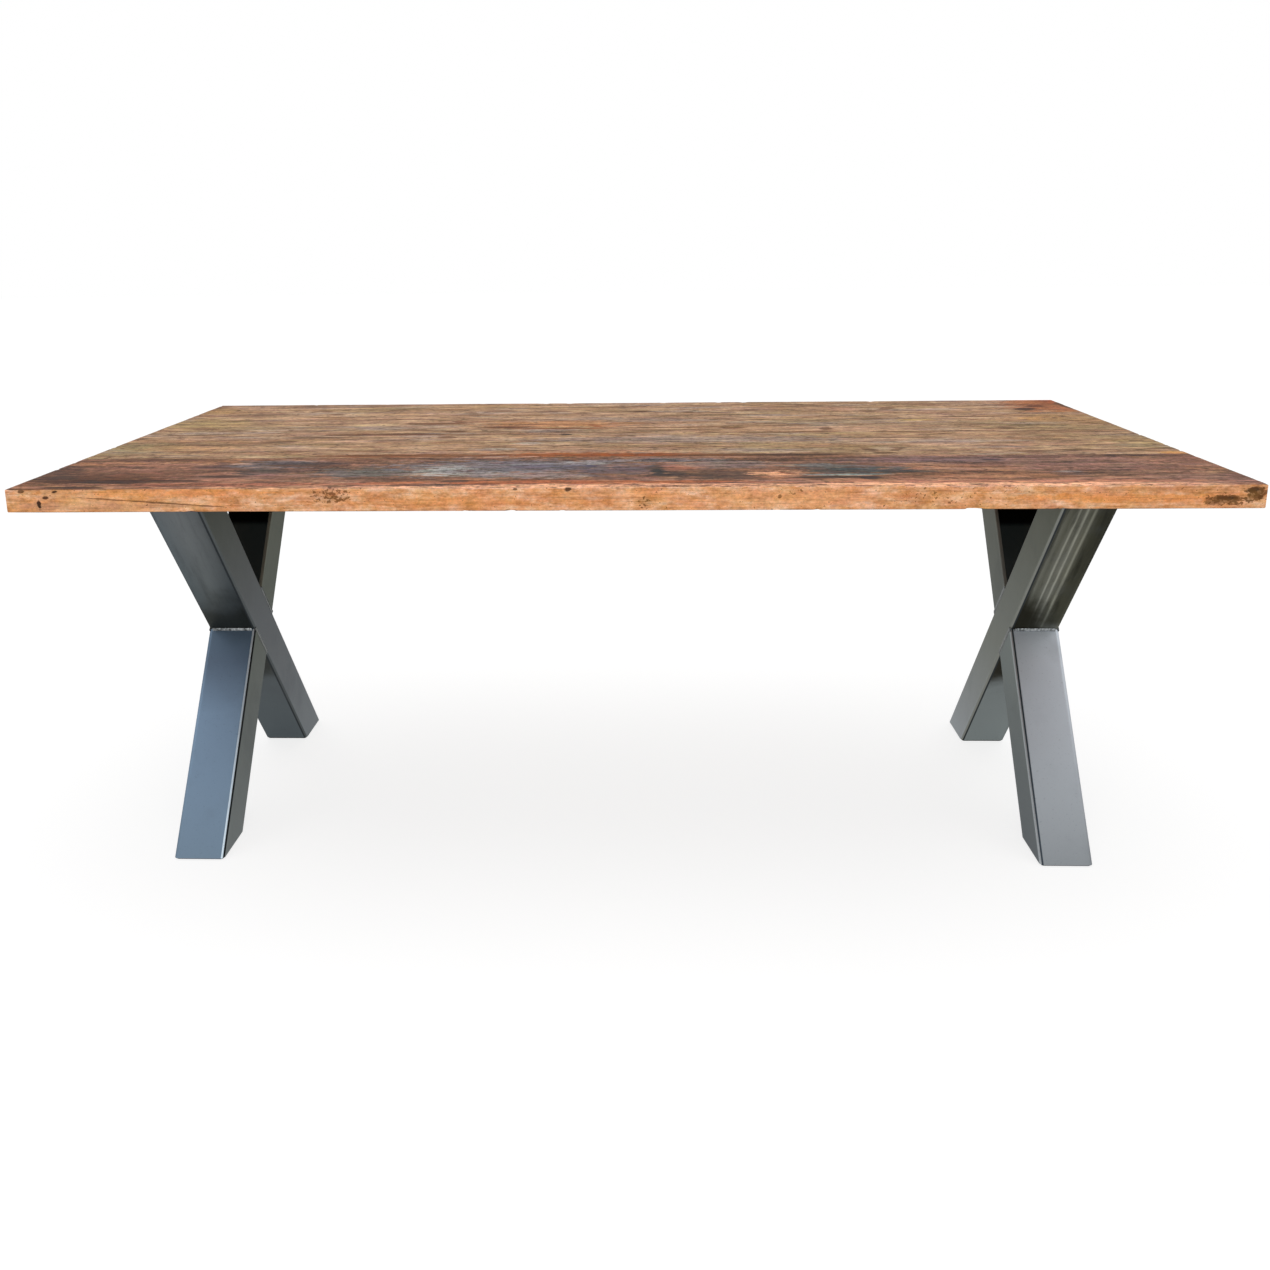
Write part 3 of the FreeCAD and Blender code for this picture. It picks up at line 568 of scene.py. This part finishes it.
PLANKS = {
    "top_board_front": old_oak("oiled_oak_dark_plank", DARK_TONES, DARK_TINTS, FRONT_STAINS, FRONT_KNOTS,
                               1.0, 2.3, ARRIS_STRIPS, EDGE_MARKS, WORMHOLES),
    "top_board_middle_front": old_oak("oiled_oak_second_plank", FACE_TONES, FACE_TINTS,
                                      MIDDLE_FRONT_STAINS, MIDDLE_FRONT_KNOTS, 2.0),
    "top_board_middle_back": old_oak("oiled_oak_third_plank", FACE_TONES, FACE_TINTS,
                                     MIDDLE_BACK_STAINS, MIDDLE_BACK_KNOTS, 3.0),
    "top_board_back": old_oak("oiled_oak_back_plank", FACE_TONES, FACE_TINTS, BACK_STAINS, BACK_KNOTS, 4.0),
}
print("Oak for", len(PLANKS), "planks")

# %% [markdown]
# ## Dark wood inside a drying crack
# A crack has no planed skin. Its walls are torn, dusty and dark, so it gets a dull brown of its own.


# %% Crack wood
def torn_wood():
    """Torn oak in the depth of a crack: dark with dust, fully matt."""
    material, tree = new_material("torn_dark_oak")
    coordinates = add(tree, "TexCoord", output="Object")
    fibres = grain(tree, coordinates, 7.0, 30, 2)
    colour = add(tree, "ValToRGB", {"Fac": fibres}, ramp=[(0.3, "20150F"), (0.7, "4A3324")])
    return close_material(material, tree, {"Base Color": colour, "Roughness": 0.95,
                                           "Specular IOR Level": 0.1})


CRACK_WOOD = torn_wood()

# %% [markdown]
# ## Modelling a plank
# A plank starts as a box of the CAD plank's size. Its long edges are cut into stations a few millimetres
# apart, so that the surface can take an uneven, hand-worn shape. A bevel breaks the arrises, one Displace
# modifier makes the faces wavy by less than a millimetre, and a second one, held to the outer arrises by a
# vertex group, knocks chips out of them. Cracks, grooves and screw holes are then cut with a Boolean.


# %% Modelling helpers
def pick(*pieces):
    """Select these pieces and nothing else, and make the first one active."""
    bpy.ops.object.select_all(action="DESELECT")
    for piece in pieces:
        piece.select_set(True)
    bpy.context.view_layer.objects.active = pieces[0]


def choose_edges(piece, test):
    """In edit mode, select the edges that pass the test, and nothing else."""
    bpy.ops.mesh.select_mode(type="EDGE")
    bpy.ops.mesh.select_all(action="DESELECT")
    form = bmesh.from_edit_mesh(piece.data)
    for edge in form.edges:
        if test(edge):
            edge.select_set(True)
    form.select_flush_mode()
    bmesh.update_edit_mesh(piece.data)


def runs_along(axis, longer_than):
    """A test for edges parallel to one axis and longer than so many metres."""
    def test(edge):
        run = edge.verts[1].co - edge.verts[0].co
        return run.length > longer_than and abs(run[axis]) > 0.999 * run.length
    return test


def modify(piece, kind, **settings):
    """Add a modifier with its settings and apply it."""
    pick(piece)
    bpy.ops.object.modifier_add(type=kind)
    modifier = piece.modifiers[-1]
    for name, value in settings.items():
        setattr(modifier, name, value)
    bpy.ops.object.modifier_apply(modifier=modifier.name)


def displace(piece, texture, reach, stretch, seed=0.0, **settings):
    """Displace a piece by a texture whose features are stretched; reach and stretch in metres."""
    bpy.ops.object.empty_add(location=(seed * 3.1, seed * 1.7, seed))
    ruler = bpy.context.object
    ruler.scale = stretch
    bpy.context.view_layer.update()
    modify(piece, "DISPLACE", texture=texture, texture_coords="OBJECT", texture_coords_object=ruler,
           strength=reach, **settings)
    bpy.data.objects.remove(ruler)


# %% Textures that shape the wood
def cloud_texture(name, depth):
    """A noise texture with features one unit wide, so that its object sets their size."""
    texture = bpy.data.textures.new(name, "CLOUDS")
    texture.noise_scale = 1.0
    texture.noise_depth = depth
    return texture


hollows = cloud_texture("planed_hollows", 2)
chips = cloud_texture("chipped_arris", 3)
chips.use_color_ramp = True
chips.color_ramp.elements[0].position = 0.24
chips.color_ramp.elements[1].position = 0.36
for stop, level in zip(chips.color_ramp.elements, (0, 1)):
    stop.color = (level, level, level, 1)


# %% Saw one plank
WAVE = 0.8 * MM
HOLLOW = (0.30, 0.045, 0.045)
CHIP = (0.030, 0.012, 0.012)
CHIP_REACH = 6.0 * MM
OUTER_ARRIS = 2.5 * MM
SEAM_ARRIS = 0.8 * MM
ROW = 10 * MM
LAYER_CUTS = 8
TOUCHING = 0.1 * MM


def saw_plank(node, station, outer_faces, chip, seed):
    """A worn plank in the place of a CAD plank. station: about how far apart the cuts along it are.
    outer_faces: the Y of each outer face it has. chip: how deep its arrises are chipped."""
    low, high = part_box(node)
    bpy.ops.mesh.primitive_cube_add(size=1, location=(low + high) / 2, scale=high - low)
    plank = bpy.context.object
    plank.name = "worn_" + node
    bpy.ops.object.transform_apply()

    bpy.ops.object.mode_set(mode="EDIT")

    def on_outline(edge):
        middle = (edge.verts[0].co + edge.verts[1].co) / 2
        flat = abs(edge.verts[0].co.z - edge.verts[1].co.z) < MM
        at_end = any(abs(middle.x - x) < MM for x in (low.x, high.x))
        at_face = any(abs(middle.y - y) < MM for y in outer_faces)
        return flat and (at_end or at_face)

    choose_edges(plank, on_outline)
    bpy.ops.mesh.bevel(offset=OUTER_ARRIS, segments=3, affect="EDGES")

    def on_seam(edge):
        middle = (edge.verts[0].co + edge.verts[1].co) / 2
        seam = any(abs(middle.y - y) < TOUCHING for y in (low.y, high.y) if y not in outer_faces)
        top_or_bottom = min(abs(middle.z - low.z), abs(middle.z - high.z)) < TOUCHING
        return seam and top_or_bottom and runs_along(0, longer_than=1.0)(edge)

    choose_edges(plank, on_seam)
    bpy.ops.mesh.bevel(offset=SEAM_ARRIS, segments=1, affect="EDGES")

    # two rounds make the stations along the length, each cutting into the square root of their number
    cuts = round(math.sqrt((high.x - low.x) / station)) - 1
    for _ in range(2):
        choose_edges(plank, runs_along(0, longer_than=1.5 * station))
        bpy.ops.mesh.subdivide(number_cuts=cuts)
    # then rows across the width, and layers through the thickness
    choose_edges(plank, runs_along(1, longer_than=100 * MM))
    bpy.ops.mesh.subdivide(number_cuts=round((high.y - low.y) / ROW))
    choose_edges(plank, runs_along(2, longer_than=20 * MM))
    bpy.ops.mesh.subdivide(number_cuts=LAYER_CUTS)
    bpy.ops.object.mode_set(mode="OBJECT")

    # weights: 1 on the outer arrises, fading to 0 a few millimetres away from them
    group = plank.vertex_groups.new(name="arrises")
    for vertex in plank.data.vertices:
        from_top = min(vertex.co.z - low.z, high.z - vertex.co.z)
        from_end = min(vertex.co.x - low.x, high.x - vertex.co.x)
        from_face = min([abs(vertex.co.y - y) for y in outer_faces] or [1.0])
        nearest = math.hypot(from_top, min(from_end, from_face))
        if nearest < CHIP_REACH:
            group.add([vertex.index], 1 - nearest / CHIP_REACH, "REPLACE")

    displace(plank, hollows, WAVE, HOLLOW, seed, mid_level=1.0)
    displace(plank, chips, chip, CHIP, seed, mid_level=1.0, vertex_group="arrises")
    print(plank.name, len(plank.data.polygons), "faces")
    return plank


worn = {}
back_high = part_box("top_board_back")[1]
for node, station, outer_faces, chip, seed in (
        ("top_board_front", 4 * MM, [front_low.y], 3.5 * MM, 1.0),
        ("top_board_middle_front", 6 * MM, [], 2.5 * MM, 2.0),
        ("top_board_middle_back", 6 * MM, [], 2.5 * MM, 3.0),
        ("top_board_back", 6 * MM, [back_high.y], 2.0 * MM, 4.0)):
    worn[node] = saw_plank(node, station, outer_faces, chip, seed)

# %% [markdown]
# ## Drying cracks
# A drying crack is long, narrow and a little wavy, and it closes to nothing at both ends. A sphere drawn out
# along the plank has that shape, so a long spindle is bent by noise and cut out of the plank.

# %% Cut cracks, grooves and screw holes
CRACKS = {
    "top_board_front": [(-700, -20, -365, 1.6), (-960, -760, -505, 1.4), (40, 150, -470, 2.0),
                        (330, 520, -505, 1.8), (560, 1000, -400, 1.2)],
    "top_board_middle_front": [(240, 420, -229, 1.6), (-620, -320, -236, 1.4), (-1000, -420, -110, 1.0),
                               (480, 900, -60, 1.0)],
    "top_board_middle_back": [(-680, -150, 62, 2.2), (-300, 0, 131, 1.8), (100, 420, 72, 1.4),
                              (-480, -300, 205, 1.2), (560, 980, 240, 1.0)],
    "top_board_back": [(-960, -560, 470, 1.2), (-200, 260, 420, 1.0), (500, 860, 500, 1.2),
                       (890, 925, 375, 3.0)],
}
CRACK_DEPTH = 7 * MM
CRACK_SWAY = 14 * MM
CRACK_BENDS = (0.09, 9.0, 9.0)
GROOVE_ROOM = 0.5 * MM
HOLE_ROOM = 0.1 * MM
INSERT_APART = 20 * MM

wander = cloud_texture("crack_wander", 3)


def crack_cutter(start, end, across, width, top):
    """A wavy spindle along a crack. Start, end, place across and width in millimetres."""
    length = (end - start) * MM
    bpy.ops.mesh.primitive_uv_sphere_add(
        segments=10, ring_count=48, radius=1, rotation=(0, math.pi / 2, 0),
        location=((start + end) / 2 * MM, across * MM, top),
        scale=(CRACK_DEPTH, width / 2 * MM, length / 2))
    cutter = bpy.context.object
    bpy.ops.object.transform_apply()
    sway = min(CRACK_SWAY, length / 16)  # a short crack sways less
    displace(cutter, wander, sway, CRACK_BENDS, across * 0.01, direction="Y", mid_level=0.5)
    cutter.data.materials.append(CRACK_WOOD)
    return cutter


def box_cutter(low, high):
    """A plain box that only cuts, and is gone afterwards."""
    bpy.ops.mesh.primitive_cube_add(size=1, location=(low + high) / 2, scale=high - low)
    bpy.ops.object.transform_apply()
    return bpy.context.object


def clusters(values, gap):
    """The middles of the groups that a list of numbers falls into."""
    values = sorted(values)
    groups = [[values[0]]]
    for value in values[1:]:
        if value - groups[-1][-1] > gap:
            groups.append([])
        groups[-1].append(value)
    return [(group[0] + group[-1]) / 2 for group in groups]


def hole_cutters(plank_low, plank_high):
    """A cylinder for each threaded insert in a plank."""
    made = []
    for side in SIDES:
        node = side + "_threaded_inserts"
        low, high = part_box(node)
        middle_x = (low.x + high.x) / 2
        radius = (high.x - low.x) / 2 + HOLE_ROOM
        for y in clusters([v.co.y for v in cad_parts[node].data.vertices], INSERT_APART):
            if plank_low.y < y < plank_high.y:
                bpy.ops.mesh.primitive_cylinder_add(vertices=32, radius=radius, depth=2 * (high.z - low.z),
                                                    location=(middle_x, y, low.z))
                bpy.ops.object.transform_apply()
                made.append(bpy.context.object)
    return made


def cut_plank(node):
    """Cut the cracks, the tongue grooves and the insert holes, then smooth the shading."""
    plank = worn[node]
    low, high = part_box(node)
    cutters = [crack_cutter(*crack, high.z) for crack in CRACKS[node]]
    room = Vector((GROOVE_ROOM, GROOVE_ROOM, GROOVE_ROOM))
    for tongue in ("top_tongue_front", "top_tongue_middle", "top_tongue_back"):
        tongue_low, tongue_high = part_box(tongue)
        if tongue_low.y < high.y and tongue_high.y > low.y:
            cutters.append(box_cutter(tongue_low - room, tongue_high + room))
    cutters += hole_cutters(low, high)
    pick(*cutters)
    bpy.ops.object.join()
    plank.data.materials.append(PLANKS[node])
    modify(plank, "BOOLEAN", operation="DIFFERENCE", object=cutters[0], solver="EXACT",
           material_mode="TRANSFER")
    bpy.data.objects.remove(cutters[0])
    bpy.ops.object.shade_smooth_by_angle(angle=math.radians(35))
    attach(plank, "root")
    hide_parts(node)
    print(plank.name, len(plank.data.polygons), "faces after cutting")


for node in worn:
    cut_plank(node)

# %% [markdown]
# ## Steel with its mill skin, under clear lacquer
# The tubes are welded from hot-rolled steel and lacquered clear, so they keep the blue-grey oxide skin of the
# mill. The skin is drawn out in faint streaks along the tube and turned brown and dark by the heat beside the
# welds. An oxide is only half a metal, so the metallic value stays under one. Light and shade are painted into
# the colour: each side of a tube gets its own tones, with painted shade under the tabletop and on the faces
# turned down, painted reflection on the faces turned to the light, and a painted highlight and dark line
# along the inner edges.

# %% Steel of one tube
CROSSING_HEIGHT = 375
CROSSING_BAND = (0.34, 0.40)
SHADOW_FADE = 0.012
EVERYWHERE = 9000
bar_low, bar_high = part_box("right_through_bar")
FRAME_TOP = bar_high.z
TUBE = bar_high.x - bar_low.x
INNER_SIDE = bar_low.x / MM


def mill_steel(name, upper, flank, lower, corner_reflections, run, inner_x, seed, across=None, streak_strength=0.3,
               scorch=(0.6, 0, EVERYWHERE, 120), shadow_above=None, stations=(0.0, 0.47, 0.56, 1.0)):
    """Clear-lacquered steel with light and shade painted into its colour. upper, flank and lower: tones at the
    top of the frame, above and below the crossing and at the floor, for the three directions a side can face;
    they hold painted shade under the tabletop and on faces turned down, and painted reflection.
    corner_reflections: two tones along the inner edge, by the face and by the flank, painted highlights and
    dark reflection lines. run: the tube's direction. inner_x: the X of its inner side, in millimetres.
    across: painted shading of the lower face from its inner side to its outer one. scorch: strength, X, half
    width and half height of the heat tint. shadow_above: the height from which the face is black with the
    tabletop's painted shadow. stations: where the four tones lie, as shares of the way from the frame's top
    to the floor."""
    material, tree = new_material(name)
    coordinates = add(tree, "TexCoord", output="Object")
    facing = add(tree, "TexCoord", output="Normal")
    inwards = -1 if inner_x > 0 else 1
    sideways = add(tree, "SeparateXYZ", {"Vector": facing}, output="X")
    side = calculate(tree, "ABSOLUTE", sideways)
    inward = calculate(tree, "MULTIPLY", sideways, inwards)
    up = add(tree, "SeparateXYZ", {"Vector": facing}, output="Z")
    height = add(tree, "SeparateXYZ", {"Vector": coordinates}, output="Z")

    # along the tube a streak is many times as long as it is wide
    lean = math.atan2(run.z, run.y)
    turned = add(tree, "Mapping", {"Vector": coordinates, "Rotation": (-lean, 0, 0)})
    along = add(tree, "Mapping", {"Vector": turned, "Location": (seed, seed * 2, 0), "Scale": (75, 1.6, 75)})
    streaks = noise(tree, along, 1.0, 5.0, 0.65)
    clouds = noise(tree, turned, 7.0, 4.0, 0.6)
    specks = noise(tree, coordinates, 260.0, 3.0)

    # painted light and shade: the tones change from the top of the frame, in the tabletop's shade, to the
    # crossing, and from there to the floor
    fall = add(tree, "MapRange", {"Value": height, "From Min": FRAME_TOP, "From Max": 0.0})
    top_face, side_face, low_face = (add(tree, "ValToRGB", {"Fac": fall}, ramp=list(zip(stations, tones)))
                                     for tones in (upper, flank, lower))
    # painted shading across the lower face, above the crossing
    if across:
        out_x = add(tree, "SeparateXYZ", {"Vector": coordinates}, output="X")
        width = add(tree, "MapRange", {"Value": out_x, "From Min": inner_x * MM,
                                       "From Max": inner_x * MM - inwards * TUBE})
        wavy = calculate(tree, "MULTIPLY_ADD", streaks, 0.05, width)
        shade = add(tree, "ValToRGB", {"Fac": wavy}, ramp=[(place + 0.025, tone) for place, tone in across])
        above = between(tree, height, *CROSSING_BAND)
        low_face = paint(tree, above, low_face, shade, blend="MULTIPLY")
    # painted shadow: above this height the face in the V is painted black, where the tabletop's shadow falls
    if shadow_above:
        top_face = tint(tree, top_face, "080807", height, shadow_above, shadow_above + SHADOW_FADE)
    streak = add(tree, "ValToRGB", {"Fac": streaks}, ramp=[(0.3, "8A8A8A"), (0.5, "F4F4F4"), (0.7, "FFFFFF")])
    streaked = between(tree, height, *CROSSING_BAND, streak_strength)
    low_face = paint(tree, streaked, low_face, streak, blend="MULTIPLY")

    # heat tint: close to the crossing the skin is darker and brown
    strength, scorch_x, half_x, half_z = scorch
    from_weld = add(tree, "Mapping", {
        "Vector": coordinates, "Location": (scorch_x * MM, 0, CROSSING_HEIGHT * MM),
        "Scale": (half_x * MM, half_z * MM, half_z * MM)}, vector_type="TEXTURE")
    distance = add(tree, "VectorMath", {0: from_weld}, operation="LENGTH", output="Value")
    ragged = calculate(tree, "MULTIPLY_ADD", clouds, 1.0, distance)
    low_face = tint(tree, low_face, "2A281E", ragged, 1.65, 1.1, strength)

    # painted light and shade: faces turned up, down and sideways each take their own tones, and the inner edge
    # gets painted highlights and dark reflection lines
    colour = paint(tree, between(tree, up, 0.2, -0.2), top_face, low_face)
    colour = tint(tree, colour, corner_reflections[0], inward, 0.10, 0.25)
    colour = tint(tree, colour, corner_reflections[1], inward, 0.50, 0.65)
    colour = paint(tree, between(tree, side, 0.88, 0.98), colour, side_face)
    colour = tint(tree, colour, "5A5E62", clouds, 0.5, 0.75, 0.2)
    colour = tint(tree, colour, "303030", specks, 0.62, 0.72, 0.15)

    rough = add(tree, "MapRange", {"Value": clouds, "To Min": 0.30, "To Max": 0.52})
    bump = add(tree, "Bump", {"Height": specks, "Distance": 0.0002, "Strength": 0.35})
    return close_material(material, tree, {
        "Base Color": colour, "Metallic": 0.75, "Roughness": rough, "Normal": bump,
        "Specular IOR Level": 0.2, "Specular Tint": linear("909090")})


# %% Give the tubes and plates their steel
THROUGH_RUN = Vector((0, 0.732, -0.6815))
HALF_RUN = Vector((0, 0.732, 0.6815))
# painted shade: the face turned up inside the V lies under the tabletop and is dark all its length
SHADED_GAP_TONES = ("343A39",) * 4
# each tube's tones are painted light and shade: darker under the tabletop and on faces turned down, lighter on
# faces turned to the light, and bluer on the left leg as a painted reflection
TUBES = {
    "left_through_bar": {
        "upper": ("6E7C8A",) * 4, "flank": ("52554B", "73777A", "767A7D", "8E9498"),
        "lower": ("74787A", "666C6C", "62686A", "5E666A"), "corner_reflections": ("34383A", "5A5F60"),
        "scorch": (0.7, 0, EVERYWHERE, 190),
        "across": [(0.0, "909090"), (0.06, "D8D8D8"), (0.3, "F0F0F0"), (0.52, "FFFFFF"), (0.7, "F0F2F4"),
                   (1.0, "E4ECF2")]},
    "left_upper_half_bar": {
        "upper": SHADED_GAP_TONES, "flank": ("6A6C60", "70756E", "70756E", "747C7C"), "lower": ("50565A",) * 4,
        "corner_reflections": ("7A7E76", "7A7E76"), "shadow_above": 0.562},
    "left_lower_half_bar": {
        "upper": ("697C90", "6A7C91", "8299B2", "728597"), "flank": ("70756E", "767B76", "7B807D", "8A9090"),
        "stations": (0.50, 0.56, 0.68, 1.0),
        "lower": ("4E5860",) * 4, "corner_reflections": ("D8E8F4", "1E2224"), "scorch": (0.2, 0, EVERYWHERE, 120)},
    "right_through_bar": {
        "upper": ("7E8284",) * 4, "flank": ("686A5E", "8C908A", "92968F", "B8BEC2"),
        "lower": ("8C8C84", "C6C6BE", "7C8282", "8A9292"), "corner_reflections": ("34383A", "8A8C86"),
        "streak_strength": 0.7, "scorch": (0.97, 800, 90, 190),
        "across": [(0.0, "606060"), (0.04, "C8C8C0"), (0.08, "70706A"), (0.13, "B0B0A8"), (0.22, "98988E"),
                   (0.30, "ACACA4"), (0.33, "F0F0E8"), (0.36, "A0A098"), (0.43, "B4B4AC"), (0.47, "F8F8F0"),
                   (0.50, "A8A8A0"), (0.57, "A0A094"), (0.61, "DCDCD2"), (0.65, "84847A"), (0.74, "68685C"),
                   (0.88, "606056"), (1.0, "747468")]},
    "right_upper_half_bar": {
        "upper": SHADED_GAP_TONES, "flank": ("74766A", "808480", "808480", "8A8E8C"), "lower": ("5C5E5A",) * 4,
        "corner_reflections": ("7E807C", "7E807C"), "shadow_above": 0.555},
    "right_lower_half_bar": {
        "upper": ("D4DAE0", "D2DAE2", "CAD0D8", "8B9094"), "flank": ("A0A8A4", "8E9694", "8C9492", "7C8286"),
        "lower": ("5E6266",) * 4, "corner_reflections": ("3C444C", "B4BABE"), "scorch": (0.1, 0, EVERYWHERE, 120)},
}
for number, (node, finish) in enumerate(TUBES.items()):
    run = THROUGH_RUN if "through" in node else HALF_RUN
    inner_x = INNER_SIDE if node.startswith("right") else -INNER_SIDE
    steel = mill_steel("lacquered_" + node, run=run, inner_x=inner_x, seed=number * 1.37, **finish)
    dress(node, steel)

# painted shade: the plates' faces turned down are darker than those turned up
plate_steel = mill_steel(
    "lacquered_plate_steel", upper=("7B7F82",) * 4, flank=("6E7274",) * 4, lower=("5E6266",) * 4,
    corner_reflections=("8E9498", "8E9498"), run=Vector((0, 1, 0)), inner_x=-INNER_SIDE, seed=11.0)
for side in SIDES:
    for part in ("mounting_plate", "front_foot_plate", "back_foot_plate"):
        dress(side + "_" + part, plate_steel)
print("Steel on", len(TUBES), "tubes and 6 plates")

# %% [markdown]
# ## Weld beads
# A bead is a row of frozen ripples, one for each pulse of the weld pool. The CAD beads have the right place
# and section, so each starts as a copy of its CAD solid, is remeshed to an even grid of about a millimetre,
# and is rippled by a banded texture that runs along the bead.


# %% Weld metal
def weld_metal():
    """Brushed bare weld: brighter and rougher than the skin of the tube, with soot in its ripples."""
    material, tree = new_material("lacquered_weld_bead")
    coordinates = add(tree, "TexCoord", output="Object")
    soot = noise(tree, coordinates, 140.0, 3.0)
    colour = add(tree, "ValToRGB", {"Fac": soot}, ramp=[(0.35, "4C4F50"), (0.5, "7C8082"), (0.65, "9CA0A2")])
    # painted shade: the beads on the flanks, turned sideways, are darker
    sideways = add(tree, "SeparateXYZ", {"Vector": add(tree, "TexCoord", output="Normal")}, output="X")
    flank = calculate(tree, "ABSOLUTE", sideways)
    colour = tint(tree, colour, "4A4E4C", flank, 0.35, 0.7, 0.85)
    bump = add(tree, "Bump", {"Height": soot, "Distance": 0.0005, "Strength": 0.5})
    return close_material(material, tree, {"Base Color": colour, "Metallic": 0.9, "Roughness": 0.42,
                                           "Normal": bump})


# %% Ripple the beads
RIPPLE_PITCH = 3.5 * MM
RIPPLE_DEPTH = 0.9 * MM
BEAD_GRID = 1.0 * MM

ripples = bpy.data.textures.new("weld_ripples", "WOOD")
ripples.wood_type = "BANDS"
ripples.noise_basis_2 = "SIN"
bead_steel = weld_metal()


def lay_beads(node):
    """Rippled weld beads in the place of a CAD node of beads."""
    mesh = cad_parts[node].data.copy()
    beads = bpy.data.objects.new("rippled_" + node, mesh)
    bpy.context.scene.collection.objects.link(beads)
    mesh.materials.clear()
    pick(beads)
    bpy.ops.object.mode_set(mode="EDIT")
    bpy.ops.mesh.customdata_custom_splitnormals_clear()
    bpy.ops.mesh.select_all(action="SELECT")
    bpy.ops.mesh.remove_doubles(threshold=0.01 * MM)
    bpy.ops.mesh.normals_make_consistent(inside=False)
    bpy.ops.object.mode_set(mode="OBJECT")
    modify(beads, "REMESH", mode="VOXEL", voxel_size=BEAD_GRID)
    # this texture is the sine of ten times the coordinate, and stretched so far in Y and Z it is even there
    pitch = RIPPLE_PITCH * 10 / (2 * math.pi)
    displace(beads, ripples, RIPPLE_DEPTH, (pitch, 1e3, 1e3), mid_level=1.0)
    beads.data.materials.append(bead_steel)
    bpy.ops.object.shade_smooth_by_angle(angle=math.radians(50))
    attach(beads, "root")
    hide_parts(node)
    print(beads.name, len(beads.data.polygons), "faces")


for side in SIDES:
    lay_beads(side + "_crossing_welds")
    lay_beads(side + "_plate_welds")

# %% [markdown]
# ## Small parts: zinc, rubber and beech
# Bolts, washers and inserts are zinc plated: a bright, cool metal with a fine spangle. The glides are moulded
# rubber. The loose tongues in the seams are plain pale wood.


# %% Zinc, rubber and tongue wood
def zinc():
    """Electroplated zinc: bright, slightly blue, with a cloudy sheen."""
    material, tree = new_material("zinc_plate")
    coordinates = add(tree, "TexCoord", output="Object")
    cloudy = noise(tree, coordinates, 180.0, 2.0)
    colour = add(tree, "ValToRGB", {"Fac": cloudy}, ramp=[(0.35, "A7AEB6"), (0.65, "C9CFD4")])
    rough = add(tree, "MapRange", {"Value": cloudy, "To Min": 0.22, "To Max": 0.4})
    return close_material(material, tree, {"Base Color": colour, "Metallic": 1.0, "Roughness": rough})


def rubber():
    """Moulded black rubber with a fine matt grit."""
    material, tree = new_material("moulded_rubber")
    coordinates = add(tree, "TexCoord", output="Object")
    grit = noise(tree, coordinates, 900.0, 2.0)
    colour = add(tree, "ValToRGB", {"Fac": grit}, ramp=[(0.3, "1B1B1C"), (0.7, "2B2B2C")])
    bump = add(tree, "Bump", {"Height": grit, "Distance": 0.0001, "Strength": 0.5})
    return close_material(material, tree, {"Base Color": colour, "Roughness": 0.75, "Normal": bump,
                                           "Specular IOR Level": 0.3})


def tongue_wood():
    """Planed beech, pale and even, with short fine flecks."""
    material, tree = new_material("planed_beech")
    coordinates = add(tree, "TexCoord", output="Object")
    fleck = grain(tree, coordinates, 3.0, 12, 1.2)
    colour = add(tree, "ValToRGB", {"Fac": fleck}, ramp=[(0.35, "C49A6C"), (0.6, "DDBB90")])
    return close_material(material, tree, {"Base Color": colour, "Roughness": 0.6,
                                           "Specular IOR Level": 0.3})


FINISHES = {"mounting_bolts": zinc(), "floor_glide": rubber(), "top_tongue": tongue_wood()}
FINISHES["mounting_washers"] = FINISHES["threaded_inserts"] = FINISHES["mounting_bolts"]
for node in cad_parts:
    for part, finish in FINISHES.items():
        if part in node:
            dress(node, finish)
print("Small parts in zinc, rubber and beech")
